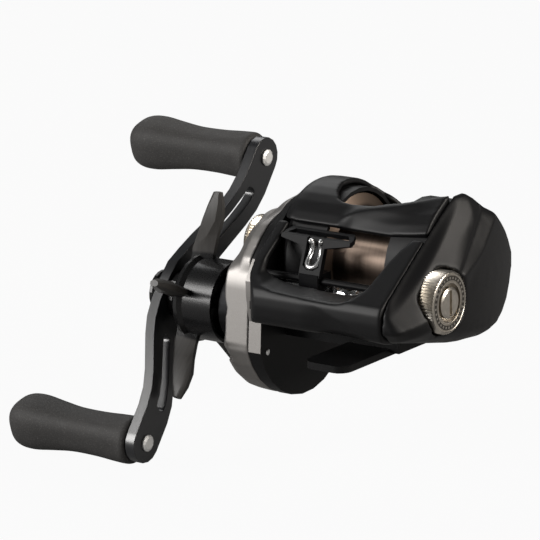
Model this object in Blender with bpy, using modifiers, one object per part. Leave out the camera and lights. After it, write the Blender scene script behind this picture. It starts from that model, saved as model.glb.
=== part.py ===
"""Low-profile baitcasting reel: frame, covers, spool, gear train, drag, handle and level wind.

Metres, +Z up. X runs along the spool axis, +X to the palm side. The origin is on the underside of the
reel foot, below the spool. Sizes are given in millimetres and scaled once, by MM.
"""
import math

import bmesh
import bpy
from mathutils import Matrix, Vector

MM = 0.001

# Axes, as (Y, Z)
SPOOL_Z = 22.0
DRIVE_Y = -4.85
MODULE = 0.5
DRIVE_TEETH = 64
PINION_TEETH = 9
CENTRE = MODULE * (DRIVE_TEETH + PINION_TEETH) / 2
SPOOL = (0.0, SPOOL_Z)
DRIVE = (DRIVE_Y, SPOOL_Z - math.sqrt(CENTRE ** 2 - DRIVE_Y ** 2))
LEVEL_TEETH = 30
IDLER_TEETH = 16
WORM_TEETH = 16
IDLER_NEAR = MODULE * (LEVEL_TEETH + IDLER_TEETH) / 2
IDLER_FAR = MODULE * (IDLER_TEETH + WORM_TEETH) / 2
WORM_REACH = 0.98974 * (IDLER_NEAR + IDLER_FAR)
WORM_ANGLE = math.radians(140.8)
WORM = (DRIVE[0] + WORM_REACH * math.cos(WORM_ANGLE), DRIVE[1] + WORM_REACH * math.sin(WORM_ANGLE))
GUIDE_BAR = (-23.2, 20.4)
DIAL = (-19.0, 18.8)

# Stations along X
SEAM_PALM = 20.0
PLATE_OUT = -29.0
PLATE_IN = -27.0
RIM_OUT = -31.0
COVER_IN = RIM_OUT - 0.3
COVER_FACE = -41.6
BORE_LIP = -12.0
RING_PALM = 8.0
PANEL_IN = 17.0
PANEL_OUT = 19.3
ARM_IN = -60.2
HUB_MID = -70.8

# Sizes
GAP = 0.3
BARREL_R = 13.5
TUBE_R = 18.7
BORE_R = TUBE_R - 1.1
FLANGE_R = BORE_R - 2 * GAP
HOOD_IN = TUBE_R + GAP
HOOD_OUT = HOOD_IN + 1.6
LOBE_R = 22.0
WALL = 1.7
SLOPE = math.radians(35.18)
NOSE_Y = -36.85
NOSE = (NOSE_Y, SPOOL_Z + (NOSE_Y * math.sin(SLOPE) + TUBE_R + 0.888) / math.cos(SLOPE))
HANDLE_R = 45.0
HANDLE_ANGLE = math.radians(49.8)
ARM_THICK = 3.2
STAR_ANGLE = math.radians(86.7)
STAR_R = 30.3
DIAL_R = 8.4
CAP_R = 7.2
FOOT_HALF = 6.7
GUIDE_X = -11.6
GUIDE_TILT = math.radians(20.2)

for old in list(bpy.data.objects):
    bpy.data.objects.remove(old, do_unlink=True)

PARTS = bpy.data.collections.new("baitcasting_reel")
CUTTERS = bpy.data.collections.new("cutters")
bpy.context.scene.collection.children.link(PARTS)
bpy.context.scene.collection.children.link(CUTTERS)

# Local Z of a turned piece points along world X; a flat outline's local X, Y, Z are world Y, Z, X.
TURN = Matrix.Rotation(math.pi / 2, 4, 'Y')
FLAT = Matrix(((0, 0, 1, 0), (1, 0, 0, 0), (0, 1, 0, 0), (0, 0, 0, 1)))


def material(name, colour, rough, metal):
    """A plain surface of one colour."""
    mat = bpy.data.materials.new(name)
    mat.use_nodes = True
    shader = mat.node_tree.nodes["Principled BSDF"]
    shader.inputs["Base Color"].default_value = (*colour, 1)
    shader.inputs["Roughness"].default_value = rough
    shader.inputs["Metallic"].default_value = metal
    mat.diffuse_color = (*colour, 1)
    return mat


BLACK = material("satin_black", (0.012, 0.012, 0.013), 0.38, 0.2)
FRAME_BLACK = material("frame_black", (0.02, 0.02, 0.021), 0.42, 0.6)
GUNMETAL = material("gunmetal", (0.09, 0.088, 0.085), 0.33, 0.9)
BRONZE = material("dark_bronze", (0.11, 0.08, 0.06), 0.28, 1.0)
SILVER = material("champagne_silver", (0.62, 0.57, 0.5), 0.3, 1.0)
STEEL = material("steel", (0.6, 0.6, 0.6), 0.25, 1.0)
BRASS = material("brass", (0.6, 0.42, 0.17), 0.3, 1.0)
FOAM = material("foam", (0.035, 0.035, 0.036), 0.9, 0.0)
CARBON = material("carbon_fibre", (0.03, 0.03, 0.03), 0.6, 0.0)
RESIN = material("dark_resin", (0.05, 0.05, 0.055), 0.5, 0.0)
CHROME = material("chrome", (0.85, 0.85, 0.85), 0.08, 1.0)


def add(name, mesh, matrix, mat, smooth=30):
    """Makes an object from a mesh, in the part's collection, or among the cutters with no material."""
    ob = bpy.data.objects.new(name, mesh)
    ob.matrix_world = matrix
    if mat is None:
        CUTTERS.objects.link(ob)
        ob.hide_render = True
        ob.display_type = 'WIRE'
        return ob
    PARTS.objects.link(ob)
    mesh.materials.clear()
    mesh.materials.append(mat)
    if smooth:
        mesh.shade_smooth()
        mesh.set_sharp_from_angle(angle=math.radians(smooth))
    return ob


def place(x=0.0, at=(0.0, 0.0)):
    return Matrix.Translation(Vector((x, at[0], at[1])) * MM)


def turned(name, profile, at, mat, steps=24, ring=False):
    """Turns a profile of (radius, x) points about the X line through at. A ring's profile is closed."""
    mesh = bpy.data.meshes.new(name)
    bm = bmesh.new()
    verts = [bm.verts.new((r * MM, 0, x * MM)) for r, x in profile]
    for a, b in zip(verts, verts[1:]):
        bm.edges.new((a, b))
    if ring:
        bm.edges.new((verts[-1], verts[0]))
    bm.to_mesh(mesh)
    bm.free()
    ob = add(name, mesh, place(0, at) @ TURN, mat, smooth=0)
    screw = ob.modifiers.new("turn", 'SCREW')
    screw.axis = 'Z'
    screw.angle = 2 * math.pi
    screw.steps = steps
    screw.render_steps = steps
    screw.use_merge_vertices = True
    screw.merge_threshold = 0.000005
    return ob


def evaluated_mesh(ob):
    """The mesh of an object with its modifiers, welded."""
    depsgraph = bpy.context.evaluated_depsgraph_get()
    mesh = bpy.data.meshes.new_from_object(ob.evaluated_get(depsgraph))
    bm = bmesh.new()
    bm.from_mesh(mesh)
    bmesh.ops.remove_doubles(bm, verts=bm.verts[:], dist=0.000004)
    bm.to_mesh(mesh)
    bm.free()
    return mesh


def outline(name, loops, matrix, low, high, mat, smooth=30):
    """Extrudes a flat outline, with holes, from low to high along the matrix's local Z."""
    curve = bpy.data.curves.new(name, 'CURVE')
    curve.dimensions = '2D'
    curve.fill_mode = 'BOTH'
    curve.extrude = (high - low) / 2 * MM
    for loop in loops:
        spline = curve.splines.new('POLY')
        spline.points.add(len(loop) - 1)
        spline.use_cyclic_u = True
        for point, (a, b) in zip(spline.points, loop):
            point.co = (a * MM, b * MM, 0, 1)
    flat = bpy.data.objects.new(name + "_outline", curve)
    CUTTERS.objects.link(flat)
    mesh = evaluated_mesh(flat)
    bpy.data.objects.remove(flat, do_unlink=True)
    mesh.transform(Matrix.Translation((0, 0, (low + high) / 2 * MM)))
    return add(name, mesh, matrix, mat, smooth)


def plate(name, loops, low, high, mat, at=(0.0, 0.0), smooth=30):
    """A flat outline of (Y, Z) points about at, from X low to X high."""
    return outline(name, loops, place(0, at) @ FLAT, low, high, mat, smooth)


def box(name, x, y, z, mat, matrix=None):
    bm = bmesh.new()
    bmesh.ops.create_cube(bm, size=1)
    size = Vector((x[1] - x[0], y[1] - y[0], z[1] - z[0])) * MM
    mid = Vector((x[1] + x[0], y[1] + y[0], z[1] + z[0])) * MM / 2
    bmesh.ops.transform(bm, matrix=Matrix.Translation(mid) @ Matrix.Diagonal((*size, 1)), verts=bm.verts[:])
    mesh = bpy.data.meshes.new(name)
    bm.to_mesh(mesh)
    bm.free()
    return add(name, mesh, matrix or Matrix(), mat, smooth=0)


def rod(name, radius, low, high, at, mat=None, sides=24):
    """A plain cylinder along X."""
    bm = bmesh.new()
    bmesh.ops.create_cone(bm, cap_ends=True, segments=sides, radius1=radius * MM, radius2=radius * MM,
                          depth=(high - low) * MM)
    mesh = bpy.data.meshes.new(name)
    bm.to_mesh(mesh)
    bm.free()
    return add(name, mesh, place((low + high) / 2, at) @ TURN, mat)


def boolean(ob, other, how='DIFFERENCE'):
    mod = ob.modifiers.new(how.lower(), 'BOOLEAN')
    mod.operation = how
    mod.solver = 'EXACT'
    mod.object = other
    return ob


def circle(radius, count=24, at=(0.0, 0.0), start=0.0):
    return [(at[0] + radius * math.cos(start + 2 * math.pi * i / count),
             at[1] + radius * math.sin(start + 2 * math.pi * i / count)) for i in range(count)]


def arc(at, radius, first, last, count):
    """Points of an arc, by degrees from +Y towards +Z."""
    turns = [math.radians(first + (last - first) * i / (count - 1)) for i in range(count)]
    return [(at[0] + radius * math.cos(t), at[1] + radius * math.sin(t)) for t in turns]


def inset(loop, depth):
    """Moves a closed anticlockwise outline inwards along the mean of its two edges' normals."""
    out = []
    for i, here in enumerate(loop):
        before, after = loop[i - 1], loop[(i + 1) % len(loop)]
        a = Vector((here[0] - before[0], here[1] - before[1])).normalized()
        b = Vector((after[0] - here[0], after[1] - here[1])).normalized()
        normal = Vector((-a.y - b.y, a.x + b.x)).normalized()
        stretch = depth / max(0.5, normal.dot(Vector((-a.y, a.x))))
        out.append((here[0] + normal.x * stretch, here[1] + normal.y * stretch))
    return out


def even(loop, count):
    """The same closed outline with points at even steps along it."""
    lengths = [math.dist(a, loop[(i + 1) % len(loop)]) for i, a in enumerate(loop)]
    total = sum(lengths)
    out = []
    for k in range(count):
        left = total * k / count
        i = 0
        while left > lengths[i]:
            left -= lengths[i]
            i += 1
        a, b = loop[i], loop[(i + 1) % len(loop)]
        t = left / lengths[i]
        out.append((a[0] + (b[0] - a[0]) * t, a[1] + (b[1] - a[1]) * t))
    return out


def rounded(corners, radius, steps=3):
    """Rounds the corners of a closed outline."""
    out = []
    for i, corner in enumerate(corners):
        p = Vector(corner)
        a = Vector(corners[i - 1]) - p
        b = Vector(corners[(i + 1) % len(corners)]) - p
        cut = min(radius, a.length * 0.45, b.length * 0.45)
        a = p + a.normalized() * cut
        b = p + b.normalized() * cut
        for k in range(steps + 1):
            t = k / steps
            q = a * (1 - t) ** 2 + p * 2 * t * (1 - t) + b * t ** 2
            out.append((q.x, q.y))
    return out


def loft(name, rings, mat, smooth=35):
    """Skins closed rings of points in order; the first is capped, and the last too unless it is one point."""
    bm = bmesh.new()
    made = [[bm.verts.new(Vector(p) * MM) for p in ring] for ring in rings]
    for one, two in zip(made, made[1:]):
        n = len(one)
        for i in range(n):
            if len(two) == 1:
                bm.faces.new((one[i], one[(i + 1) % n], two[0]))
            else:
                bm.faces.new((one[i], one[(i + 1) % n], two[(i + 1) % n], two[i]))
    bm.faces.new(list(reversed(made[0])))
    if len(made[-1]) > 1:
        bm.faces.new(made[-1])
    bmesh.ops.recalc_face_normals(bm, faces=bm.faces[:])
    mesh = bpy.data.meshes.new(name)
    bm.to_mesh(mesh)
    bm.free()
    return add(name, mesh, Matrix(), mat, smooth)


def gear_loop(teeth, module, shift, phase, slack):
    """A gear's outline, its flanks the chords of involutes; the tooth at phase points along that angle."""
    pitch = module * teeth / 2
    tip = pitch + module * (1 + shift)
    root = pitch - module * (1.25 - shift)
    base = pitch * math.cos(math.radians(20))
    half = math.pi / (2 * teeth) + 2 * shift * math.tan(math.radians(20)) / teeth - slack / (2 * pitch)

    def turn(radius):
        pressure = math.acos(min(1, base / radius))
        start = math.tan(math.radians(20)) - math.radians(20)
        return half + start - (math.tan(pressure) - pressure)

    while turn(tip) * tip < 0.12:
        tip -= 0.01
    low = max(base, root)
    flank = [(root, turn(low)), (tip, turn(tip))]
    loop = []
    for i in range(teeth):
        mid = phase + 2 * math.pi * i / teeth
        for radius, angle in flank:
            loop.append((radius * math.cos(mid - angle), radius * math.sin(mid - angle)))
        for radius, angle in reversed(flank):
            loop.append((radius * math.cos(mid + angle), radius * math.sin(mid + angle)))
    return loop


def meshing(phase, teeth, other, here, there):
    """The phase at which a second gear's gap takes the first gear's tooth."""
    line = math.atan2(there[1] - here[1], there[0] - here[0])
    return line + math.pi + math.pi / other - (phase - line) * teeth / other


# Outlines of the body, as (Y, Z), anticlockwise seen from the palm side

TOP_R = 15.0
LOBE = arc(DRIVE, LOBE_R, -164.0, -12.0, 12)
GEAR_SIDE = (LOBE + [(19.8, 6.0), (22.4, 14.0), (21.0, 22.0), (16.8, 28.0)]
             + arc(SPOOL, TOP_R, 38, 128, 8)
             + [(-15.1, 31.4), (-18.8, 28.4), (-23.3, 23.6), (-26.7, 18.2), (-26.6, 13.8), (-23.6, 6.8)])


def gear_side_at(depth, top, shoulder):
    """The gear-side outline, inset by depth below, its top and shoulders drawn in to the spool axis."""
    out = []
    for (y, z), low in zip(GEAR_SIDE, inset(GEAR_SIDE, depth) if depth else GEAR_SIDE):
        t = min(max((z - 6.0) / 16.0, 0.0), 1.0)
        share = t * t * (3 - 2 * t)
        side = min(max((abs(y) - 9.0) / 8.0, 0.0), 1.0)
        scale = top + (shoulder - top) * side
        high = (SPOOL[0] + (y - SPOOL[0]) * scale, SPOOL[1] + (z - SPOOL[1]) * scale)
        out.append((low[0] + (high[0] - low[0]) * share, low[1] + (high[1] - low[1]) * share))
    return out


PALM_SIDE = rounded([(-37.6, 11.1), (-24.4, 8.0), (-9.0, 4.5), (6.0, 3.4), (13.5, 5.4), (20.8, 10.4),
                     (26.2, 17.8), (26.0, 22.4), (20.5, 29.0), (13.6, 35.2), (5.0, 41.2), (-1.2, 44.2),
                     (-4.4, 43.0), (-20.4, 31.8), (-36.9, 20.1), (-38.0, 16.0)], 3.2, 2)


def slope_point(along, off=0.0):
    """A point (Y, Z) on the sloping front plane, off it along its outward normal."""
    return (NOSE[0] + along * math.cos(SLOPE) - off * math.sin(SLOPE),
            NOSE[1] + along * math.sin(SLOPE) + off * math.cos(SLOPE))


# Frame: gear-side plate with its rim and lobe, spool bore, palm-side panel, cross members and foot

frame = loft("frame", [[(RIM_OUT, y, z) for y, z in GEAR_SIDE],
                       [(PLATE_IN, y, z) for y, z in gear_side_at(0.0, 1.2, 1.0)]], FRAME_BLACK)
boolean(frame, plate("rim_pocket_cut", [gear_side_at(1.8, 0.87, 0.91)], RIM_OUT - 1.0, PLATE_OUT, None))
tube = turned("tube_join", [(TUBE_R, BORE_LIP), (TUBE_R, -23.4), (TUBE_R - 4.1, -28.0), (TUBE_R - 5.7, -28.0),
                            (TUBE_R - 1.7, -22.8), (TUBE_R - 1.7, -17.0), (4.0, -17.0), (4.0, -15.2),
                            (BORE_R, -15.2), (BORE_R, BORE_LIP)], SPOOL, None, 28, ring=True)
ring = rod("ring_join", TUBE_R, RING_PALM, PANEL_OUT, SPOOL, sides=28)
panel_loop = []
for y, z in inset(PALM_SIDE, 2.7):
    reach = math.dist((y, z), SPOOL)
    pull = 1.0 if reach > TUBE_R + 0.6 else (TUBE_R - 0.7) / reach
    panel_loop.append((max(SPOOL[0] + (y - SPOOL[0]) * pull, -28.3), SPOOL[1] + (z - SPOOL[1]) * pull))
panel = plate("panel_join", [panel_loop], PANEL_IN, PANEL_OUT - 0.2, None)
bottom = box("bottom_join", (-28.1, 9.6), (-14.0, 12.0), (0.9, 4.0), None)
rear = box("rear_join", (-28.1, 18.1), (16.6, 19.4), (8.6, 12.2), None)
front = box("front_join", (-28.1, 18.1), (-29.0, -24.6), (11.4, 13.6), None)
FOOT_TIP = FOOT_HALF - 2.1
foot_loop = rounded([(-FOOT_HALF, -33.4), (-FOOT_TIP, -35.6), (FOOT_TIP, -35.6), (FOOT_HALF, -33.4),
                     (FOOT_HALF, 24.5), (FOOT_TIP, 27.0), (-FOOT_TIP, 27.0), (-FOOT_HALF, 24.5)], 1.5, 2)
foot = outline("foot_join", [foot_loop], Matrix(), 0.0, 1.9, None)
shaft_boss = rod("shaft_boss_join", 6.2, -32.0, PLATE_OUT + 0.8, DRIVE, sides=16)
IDLER_BEND = math.acos((IDLER_NEAR ** 2 + WORM_REACH ** 2 - IDLER_FAR ** 2) / (2 * IDLER_NEAR * WORM_REACH))
IDLER = (DRIVE[0] + IDLER_NEAR * math.cos(WORM_ANGLE + IDLER_BEND),
         DRIVE[1] + IDLER_NEAR * math.sin(WORM_ANGLE + IDLER_BEND))
stud = rod("stud_join", 1.4, -34.2, PLATE_OUT + 0.8, IDLER, sides=16)
for join in (tube, ring, panel, bottom, rear, front, foot, shaft_boss, stud):
    boolean(frame, join, 'UNION')
boolean(frame, rod("palm_bore_cut", BORE_R, RING_PALM - 1.0, PANEL_OUT + 1.0, SPOOL, sides=28))
boolean(frame, rod("pinion_bearing_cut", 6.2, -30.0, -26.0, SPOOL, sides=16))
boolean(frame, rod("drive_bearing_cut", 4.8, -33.0, -28.2, DRIVE, sides=16))
boolean(frame, rod("worm_cut", 1.6, -40.0, 17.9, WORM, sides=16))
boolean(frame, rod("bar_cut", 1.25, -22.0, 18.2, GUIDE_BAR, sides=16))

# Front cover: nose and sloping window frame

COVER_TOP = 24.2
COVER_THICK = 2.0
section = ([(-27.5, 8.6), (-34.0, 9.5), (-36.6, 10.6), (-37.6, 12.2), (-38.0, 15.4), (-37.8, 18.2)]
           + [slope_point(0.0), slope_point(COVER_TOP), slope_point(COVER_TOP, -COVER_THICK),
              slope_point(8.4, -COVER_THICK), (-30.4, 11.0), (-27.5, 10.5)])
section = list(reversed(section))
front_cover = plate("front_cover", [section], -26.5, SEAM_PALM - GAP, BLACK)
window = [(-23.2, 31.0), (-23.2, 9.0), (-22.0, 4.4), (-19.2, 1.4), (-15.5, -0.2), (-5.0, -1.2), (3.0, -1.6),
          (6.5, -1.0), (9.5, 1.6), (11.6, 5.1), (13.2, 15.0), (14.6, 20.0), (16.6, 24.0), (16.9, 31.0)]


def window_ring(depth):
    """The window's outline, moved level into the reel by depth."""
    out = []
    for x, along in window:
        y, z = slope_point(along)
        out.append((x, y + depth, z + depth * 0.1))
    return out


boolean(front_cover, loft("window_cut", [window_ring(-9.0), window_ring(13.0)], None))
corner = [(-26.9, -27.0), (-25.2, -32.6), (-22.9, -35.6), (-20.2, -38.4), (-20.2, -45.0), (-32.0, -45.0),
          (-32.0, -27.0)]
boolean(front_cover, outline("nose_corner_cut", [corner], Matrix(), 0.0, 40.0, None))
boolean(front_cover, rod("bar_seat_cut", 1.5, -22.0, 15.5, GUIDE_BAR, sides=16))

# Top hood: dome over the gear side and a bar bridging to the palm side, round the spool axis

HOOD_ROWS = 15
hood_stations = [(PLATE_IN + GAP, 139.0, HOOD_OUT - 2.4, HOOD_IN - 2.0),
                 (-25.4, 141.5, HOOD_OUT - 0.9, HOOD_IN - 0.8), (-23.8, 143.0, HOOD_OUT - 0.15, HOOD_IN)]
hood_stations += [(x, 144.0, HOOD_OUT, HOOD_IN) for x in (-21.6, -15.6, -8.0, 0.0, 8.0)]
hood_stations += [(14.0, 142.0, HOOD_OUT + 0.3, HOOD_IN), (SEAM_PALM - GAP, 140.0, HOOD_OUT + 0.9, HOOD_IN)]


def hood_loop(station):
    """One closed section of the hood: its outer arc and its inner arc back."""
    x, lead, radius, hollow = station
    outer = arc(SPOOL, radius, lead, 20.0, HOOD_ROWS)
    inner = arc(SPOOL, hollow, 20.0, lead + 0.6, HOOD_ROWS)
    return [(x, y, z) for y, z in outer + inner]


top_hood = loft("top_hood", [hood_loop(s) for s in hood_stations], BLACK)
opening = [(-8.5, 8.0), (-8.5, 30.0), (-10.5, 38.0), (-13.5, 46.0), (-15.6, 56.0), (-15.6, 97.0),
           (-14.6, 106.0), (-13.0, 114.0), (-11.2, 120.0), (-8.0, 122.5), (0.0, 122.0), (6.6, 116.0),
           (13.0, 109.0), (20.0, 101.0), (30.0, 98.0), (30.0, 8.0)]


def opening_ring(radius):
    return [(x, SPOOL[0] + radius * math.cos(math.radians(a)), SPOOL[1] + radius * math.sin(math.radians(a)))
            for x, a in opening]


boolean(top_hood, loft("opening_cut", [opening_ring(HOOD_IN - 5.0), opening_ring(HOOD_OUT + 9.4)], None))

# Gear side cover: a dished lid with bosses for the one-way clutch and the cast control

OUTER_STEPS = [(COVER_IN, 0.0, 1.0, 1.0), (-34.8, 0.1, 0.87, 0.98), (-38.0, 0.3, 0.68, 0.82),
               (-40.4, 1.5, 0.63, 0.67), (COVER_FACE, 3.8, 0.6, 0.58)]
INNER_STEPS = [(-39.8, 6.0, 0.5, 0.5), (-38.2, 2.0, 0.56, 0.68), (-34.8, 1.6, 0.77, 0.92),
               (COVER_IN, WALL, 0.88, 0.93)]
gear_rings = []
for x, depth, top, shoulder in OUTER_STEPS + INNER_STEPS:
    gear_rings.append([(x, y, z) for y, z in gear_side_at(depth, top, shoulder)])
gear_cover = loft("gear_cover", gear_rings[:len(OUTER_STEPS)], GUNMETAL)
hollow = loft("gear_hollow_cut", [[(COVER_IN + 2.0, p[1], p[2]) for p in gear_rings[-1]]]
              + list(reversed(gear_rings[len(OUTER_STEPS):])), None)
boolean(gear_cover, hollow)
CLUTCH_END = -49.3
boolean(gear_cover, rod("clutch_boss_join", 10.4, CLUTCH_END, -40.6, DRIVE, sides=24), 'UNION')
cast_boss = [(0, -39.9), (8.8, -39.9), (8.4, -42.2), (5.2, -42.2), (5.2, -44.9), (0, -44.9)]
boolean(gear_cover, turned("cast_boss_join", cast_boss, SPOOL, None, 20), 'UNION')
boolean(gear_cover, rod("clutch_bore_cut", 8.35, -52.0, -42.4, DRIVE, sides=20))
boolean(gear_cover, rod("shaft_hole_cut", 3.7, -44.0, -36.0, DRIVE, sides=16))
boolean(gear_cover, rod("cast_bore_cut", 4.05, -48.0, -36.0, SPOOL, sides=16))
SCREWS = []
for centre, reach, angle in ((DRIVE, 18.9, 205.0), (DRIVE, 18.9, -38.0), (DRIVE, 25.0, 20.0)):
    turn = math.radians(angle)
    SCREWS.append((centre[0] + reach * math.cos(turn), centre[1] + reach * math.sin(turn)))
for i, at in enumerate(SCREWS):
    boolean(gear_cover, rod("screw_boss_join_%d" % i, 2.0, -38.0, COVER_IN - 0.2, at, sides=12), 'UNION')
for i, at in enumerate(SCREWS):
    boolean(gear_cover, rod("screw_head_cut_%d" % i, 2.3, -50.0, -36.2, at, sides=12))
    boolean(gear_cover, rod("screw_shank_cut_%d" % i, 1.3, -40.0, -28.0, at, sides=12))
    boolean(frame, rod("screw_seat_cut_%d" % i, 1.5, -32.0, -29.3, at, sides=12))
    turned("gear_cover_screw_%d" % (i + 1),
           [(0, -29.6), (1.0, -29.6), (1.0, -36.5), (1.9, -36.5), (1.9, -37.6), (1.4, -38.1), (0, -38.1)],
           at, STEEL, 10)

# Palm side plate: a faceted lid with the dial's pocket and the spool bearing's boss


def palm_height(y, z, edge):
    """How far out the palm plate stands at a point, given its distance from the outline."""
    slope_in = (y - NOSE[0]) * math.sin(SLOPE) - (z - NOSE[1]) * math.cos(SLOPE)
    facet = SEAM_PALM + 0.2 + 0.86 * slope_in
    side = 28.8 - 0.0044 * max(y - DIAL[0], 0.0) ** 2 - 0.015 * (z - DIAL[1])
    reach = min(edge / 9.0, 1.0)
    lip = SEAM_PALM + 9.2 * math.sqrt(1 - (1 - reach) ** 2)
    low = min(facet, side, lip)
    soft = 0.7
    blend = -soft * math.log(sum(math.exp(-(h - low) / soft) for h in (facet, side, lip)))
    return max(SEAM_PALM, low + blend)


PALM_POINTS = even(PALM_SIDE, 34)
PALM_MID = (-3.0, 21.5)


def palm_ring(share, x=None, inner=False):
    """One ring of the palm plate, at a share of the way from its middle to its outline."""
    out = []
    for y, z in PALM_POINTS:
        a, b = PALM_MID[0] + (y - PALM_MID[0]) * share, PALM_MID[1] + (z - PALM_MID[1]) * share
        edge = min(math.dist((a, b), p) for p in even(PALM_SIDE, 120))
        height = palm_height(a, b, edge) if x is None else x
        if inner and x is None:
            height = max(SEAM_PALM + 0.3, height - WALL)
            if math.dist((a, b), DIAL) < 12.0:
                height = min(height, 21.6)
        out.append((height, a, b))
    return out


palm_rings = [palm_ring(1.0, SEAM_PALM)] + [palm_ring(s) for s in (0.98, 0.94, 0.88, 0.79, 0.66, 0.48, 0.25)]
palm_rings.append([(palm_height(*PALM_MID, 20.0), *PALM_MID)])
palm_side_plate = loft("palm_side_plate", palm_rings, BLACK)
palm_hollow = [palm_ring(0.93, SEAM_PALM - 2.0)]
palm_hollow += [palm_ring(s, inner=True) for s in (0.925, 0.84, 0.66, 0.3)]
palm_hollow.append([(palm_height(*PALM_MID, 20.0) - WALL, *PALM_MID)])
boolean(palm_side_plate, loft("palm_hollow_cut", palm_hollow, None))
boolean(palm_side_plate, rod("bearing_boss_join", 6.0, 16.5, 25.6, SPOOL, sides=16), 'UNION')
boolean(palm_side_plate, rod("bearing_bore_cut", 4.6, 14.0, 23.2, SPOOL, sides=16))
boolean(palm_side_plate, rod("dial_pocket_cut", DIAL_R + 0.5, 23.2, 40.0, DIAL, sides=24))
boolean(palm_side_plate, rod("plate_screw_cut", 1.6, 15.0, 30.0, DIAL, sides=16))

# Brake dial, its screw, and the brake's magnet holder


def knurl(radius, depth, count):
    """A circle of fine ridges."""
    return [((radius - depth * (i % 2)) * math.cos(math.pi * i / count),
             (radius - depth * (i % 2)) * math.sin(math.pi * i / count)) for i in range(2 * count)]


brake_dial = plate("brake_dial", [knurl(DIAL_R, 0.35, 26), circle(1.7, 12)], 23.5, 28.9, SILVER, DIAL)
boolean(brake_dial, turned("dial_face_cut", [(0, 40.0), (7.4, 40.0), (7.4, 28.5), (5.2, 28.5), (5.2, 27.0),
                                             (0, 27.0)], DIAL, None, 28))
side_plate_screw = turned("side_plate_screw", [(0, 29.2), (3.6, 29.2), (4.2, 28.8), (4.2, 27.3), (1.3, 27.3),
                                               (1.3, 19.7), (0, 19.7)], DIAL, STEEL, 20)
coin_slot = box("coin_slot_cut", (28.3, 31.0), (-0.55, 0.55), (-3.4, 3.4), None, place(0, DIAL))
boolean(side_plate_screw, coin_slot)
HOLDER_R = BARREL_R - 2.5
turned("magnet_holder", [(HOLDER_R, 18.8), (HOLDER_R, 5.6), (HOLDER_R - 1.8, 5.6), (HOLDER_R - 1.8, 17.0),
                         (6.3, 17.0), (6.3, 18.8)], SPOOL, RESIN, 16, ring=True)

# Spool on its shaft

turned("spool", [(FLANGE_R, 9.8), (FLANGE_R, 9.1), (BARREL_R, 8.3), (BARREL_R, -11.9), (FLANGE_R, -12.7),
                 (FLANGE_R, -13.4), (1.95, -13.4), (1.95, -2.0), (3.3, -2.0), (3.3, -11.6),
                 (BARREL_R - 1.2, -11.6), (BARREL_R - 1.2, 9.8)], SPOOL, BRONZE, 22, ring=True)
turned("spool_shaft", [(0, 22.4), (1.4, 22.4), (1.4, 9.0), (1.7, 9.0), (1.7, -14.5), (1.0, -14.5),
                       (1.0, -44.4), (0, -44.4)], SPOOL, STEEL, 12)
ROTOR_R = HOLDER_R - 2.6
turned("inductor_rotor", [(ROTOR_R, 8.4), (ROTOR_R, 1.2), (1.95, 1.2), (1.95, 4.2), (3.2, 4.2), (3.2, 2.4),
                          (ROTOR_R - 1.0, 2.4), (ROTOR_R - 1.0, 8.4)], SPOOL, STEEL, 14, ring=True)


def bearing(name, inner, outer, low, high, at):
    """A shielded ball bearing, closed on both faces by its shields."""
    turned(name, [(outer, high), (outer, low), (inner, low), (inner, high)], at, STEEL, 14, ring=True)


bearing("spool_bearing_palm", 1.65, 4.3, 19.4, 22.6, SPOOL)
bearing("spool_bearing_handle", 1.25, 3.75, -43.6, -41.0, SPOOL)
bearing("pinion_bearing", 3.4, 5.9, -29.0, -26.4, SPOOL)
bearing("drive_shaft_bearing", 2.75, 4.5, -31.8, -28.6, DRIVE)

# Pinion, yoke, clutch cam and thumb bar

DRIVE_PHASE = math.atan2(SPOOL[1] - DRIVE[1], SPOOL[0] - DRIVE[0])
PINION_PHASE = meshing(DRIVE_PHASE, DRIVE_TEETH, PINION_TEETH, DRIVE, SPOOL)
pinion = plate("pinion_gear", [gear_loop(PINION_TEETH, MODULE, 0.4, PINION_PHASE, 0.12)], -38.2, -33.4,
               BRASS, SPOOL)
sleeve = [(0, -21.6), (3.1, -21.6), (3.1, -29.5), (2.15, -29.5), (2.15, -31.7), (3.1, -31.7), (3.1, -33.9),
          (0, -33.9)]
boolean(pinion, turned("pinion_sleeve_join", sleeve, SPOOL, None, 18), 'UNION')
boolean(pinion, rod("pinion_bore_cut", 1.3, -45.0, -15.0, SPOOL, sides=16))
slot = [(2.5, 4.6), (2.5, 0.0)] + arc((0, 0), 2.5, -15, -165, 7) + [(-2.5, 0.0), (-2.5, 4.6)]
fork = slot + [(-10.4, 4.6), (-10.4, -1.6), (-6.0, -4.4), (6.0, -4.4), (10.4, -1.6), (10.4, 4.6)]
yoke = plate("yoke", [fork], -31.3, -29.95, RESIN, SPOOL)
SPRING_REACH = 7.6


def coil(name, at, low, high, radius, wire, turns, mat):
    """A coil spring along X, as one tube, with its ends running flat for most of a turn."""
    count = 6 * turns
    curve = bpy.data.curves.new(name, 'CURVE')
    curve.dimensions = '3D'
    curve.bevel_depth = wire * MM
    curve.bevel_resolution = 1
    curve.use_fill_caps = True
    spline = curve.splines.new('POLY')
    spline.points.add(count)
    for i, point in enumerate(spline.points):
        t = i / count
        turn = 2 * math.pi * turns * t
        x = low + wire + (high - low - 2 * wire) * t
        point.co = (x * MM, radius * math.cos(turn) * MM, radius * math.sin(turn) * MM, 1)
    flat = bpy.data.objects.new(name + "_path", curve)
    CUTTERS.objects.link(flat)
    mesh = evaluated_mesh(flat)
    bpy.data.objects.remove(flat, do_unlink=True)
    pitch = (high - low - 2 * wire) / turns
    print(name, "least gap between turns %.2f mm" % (pitch - 2 * wire))
    return add(name, mesh, place(0, at), mat)


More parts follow.
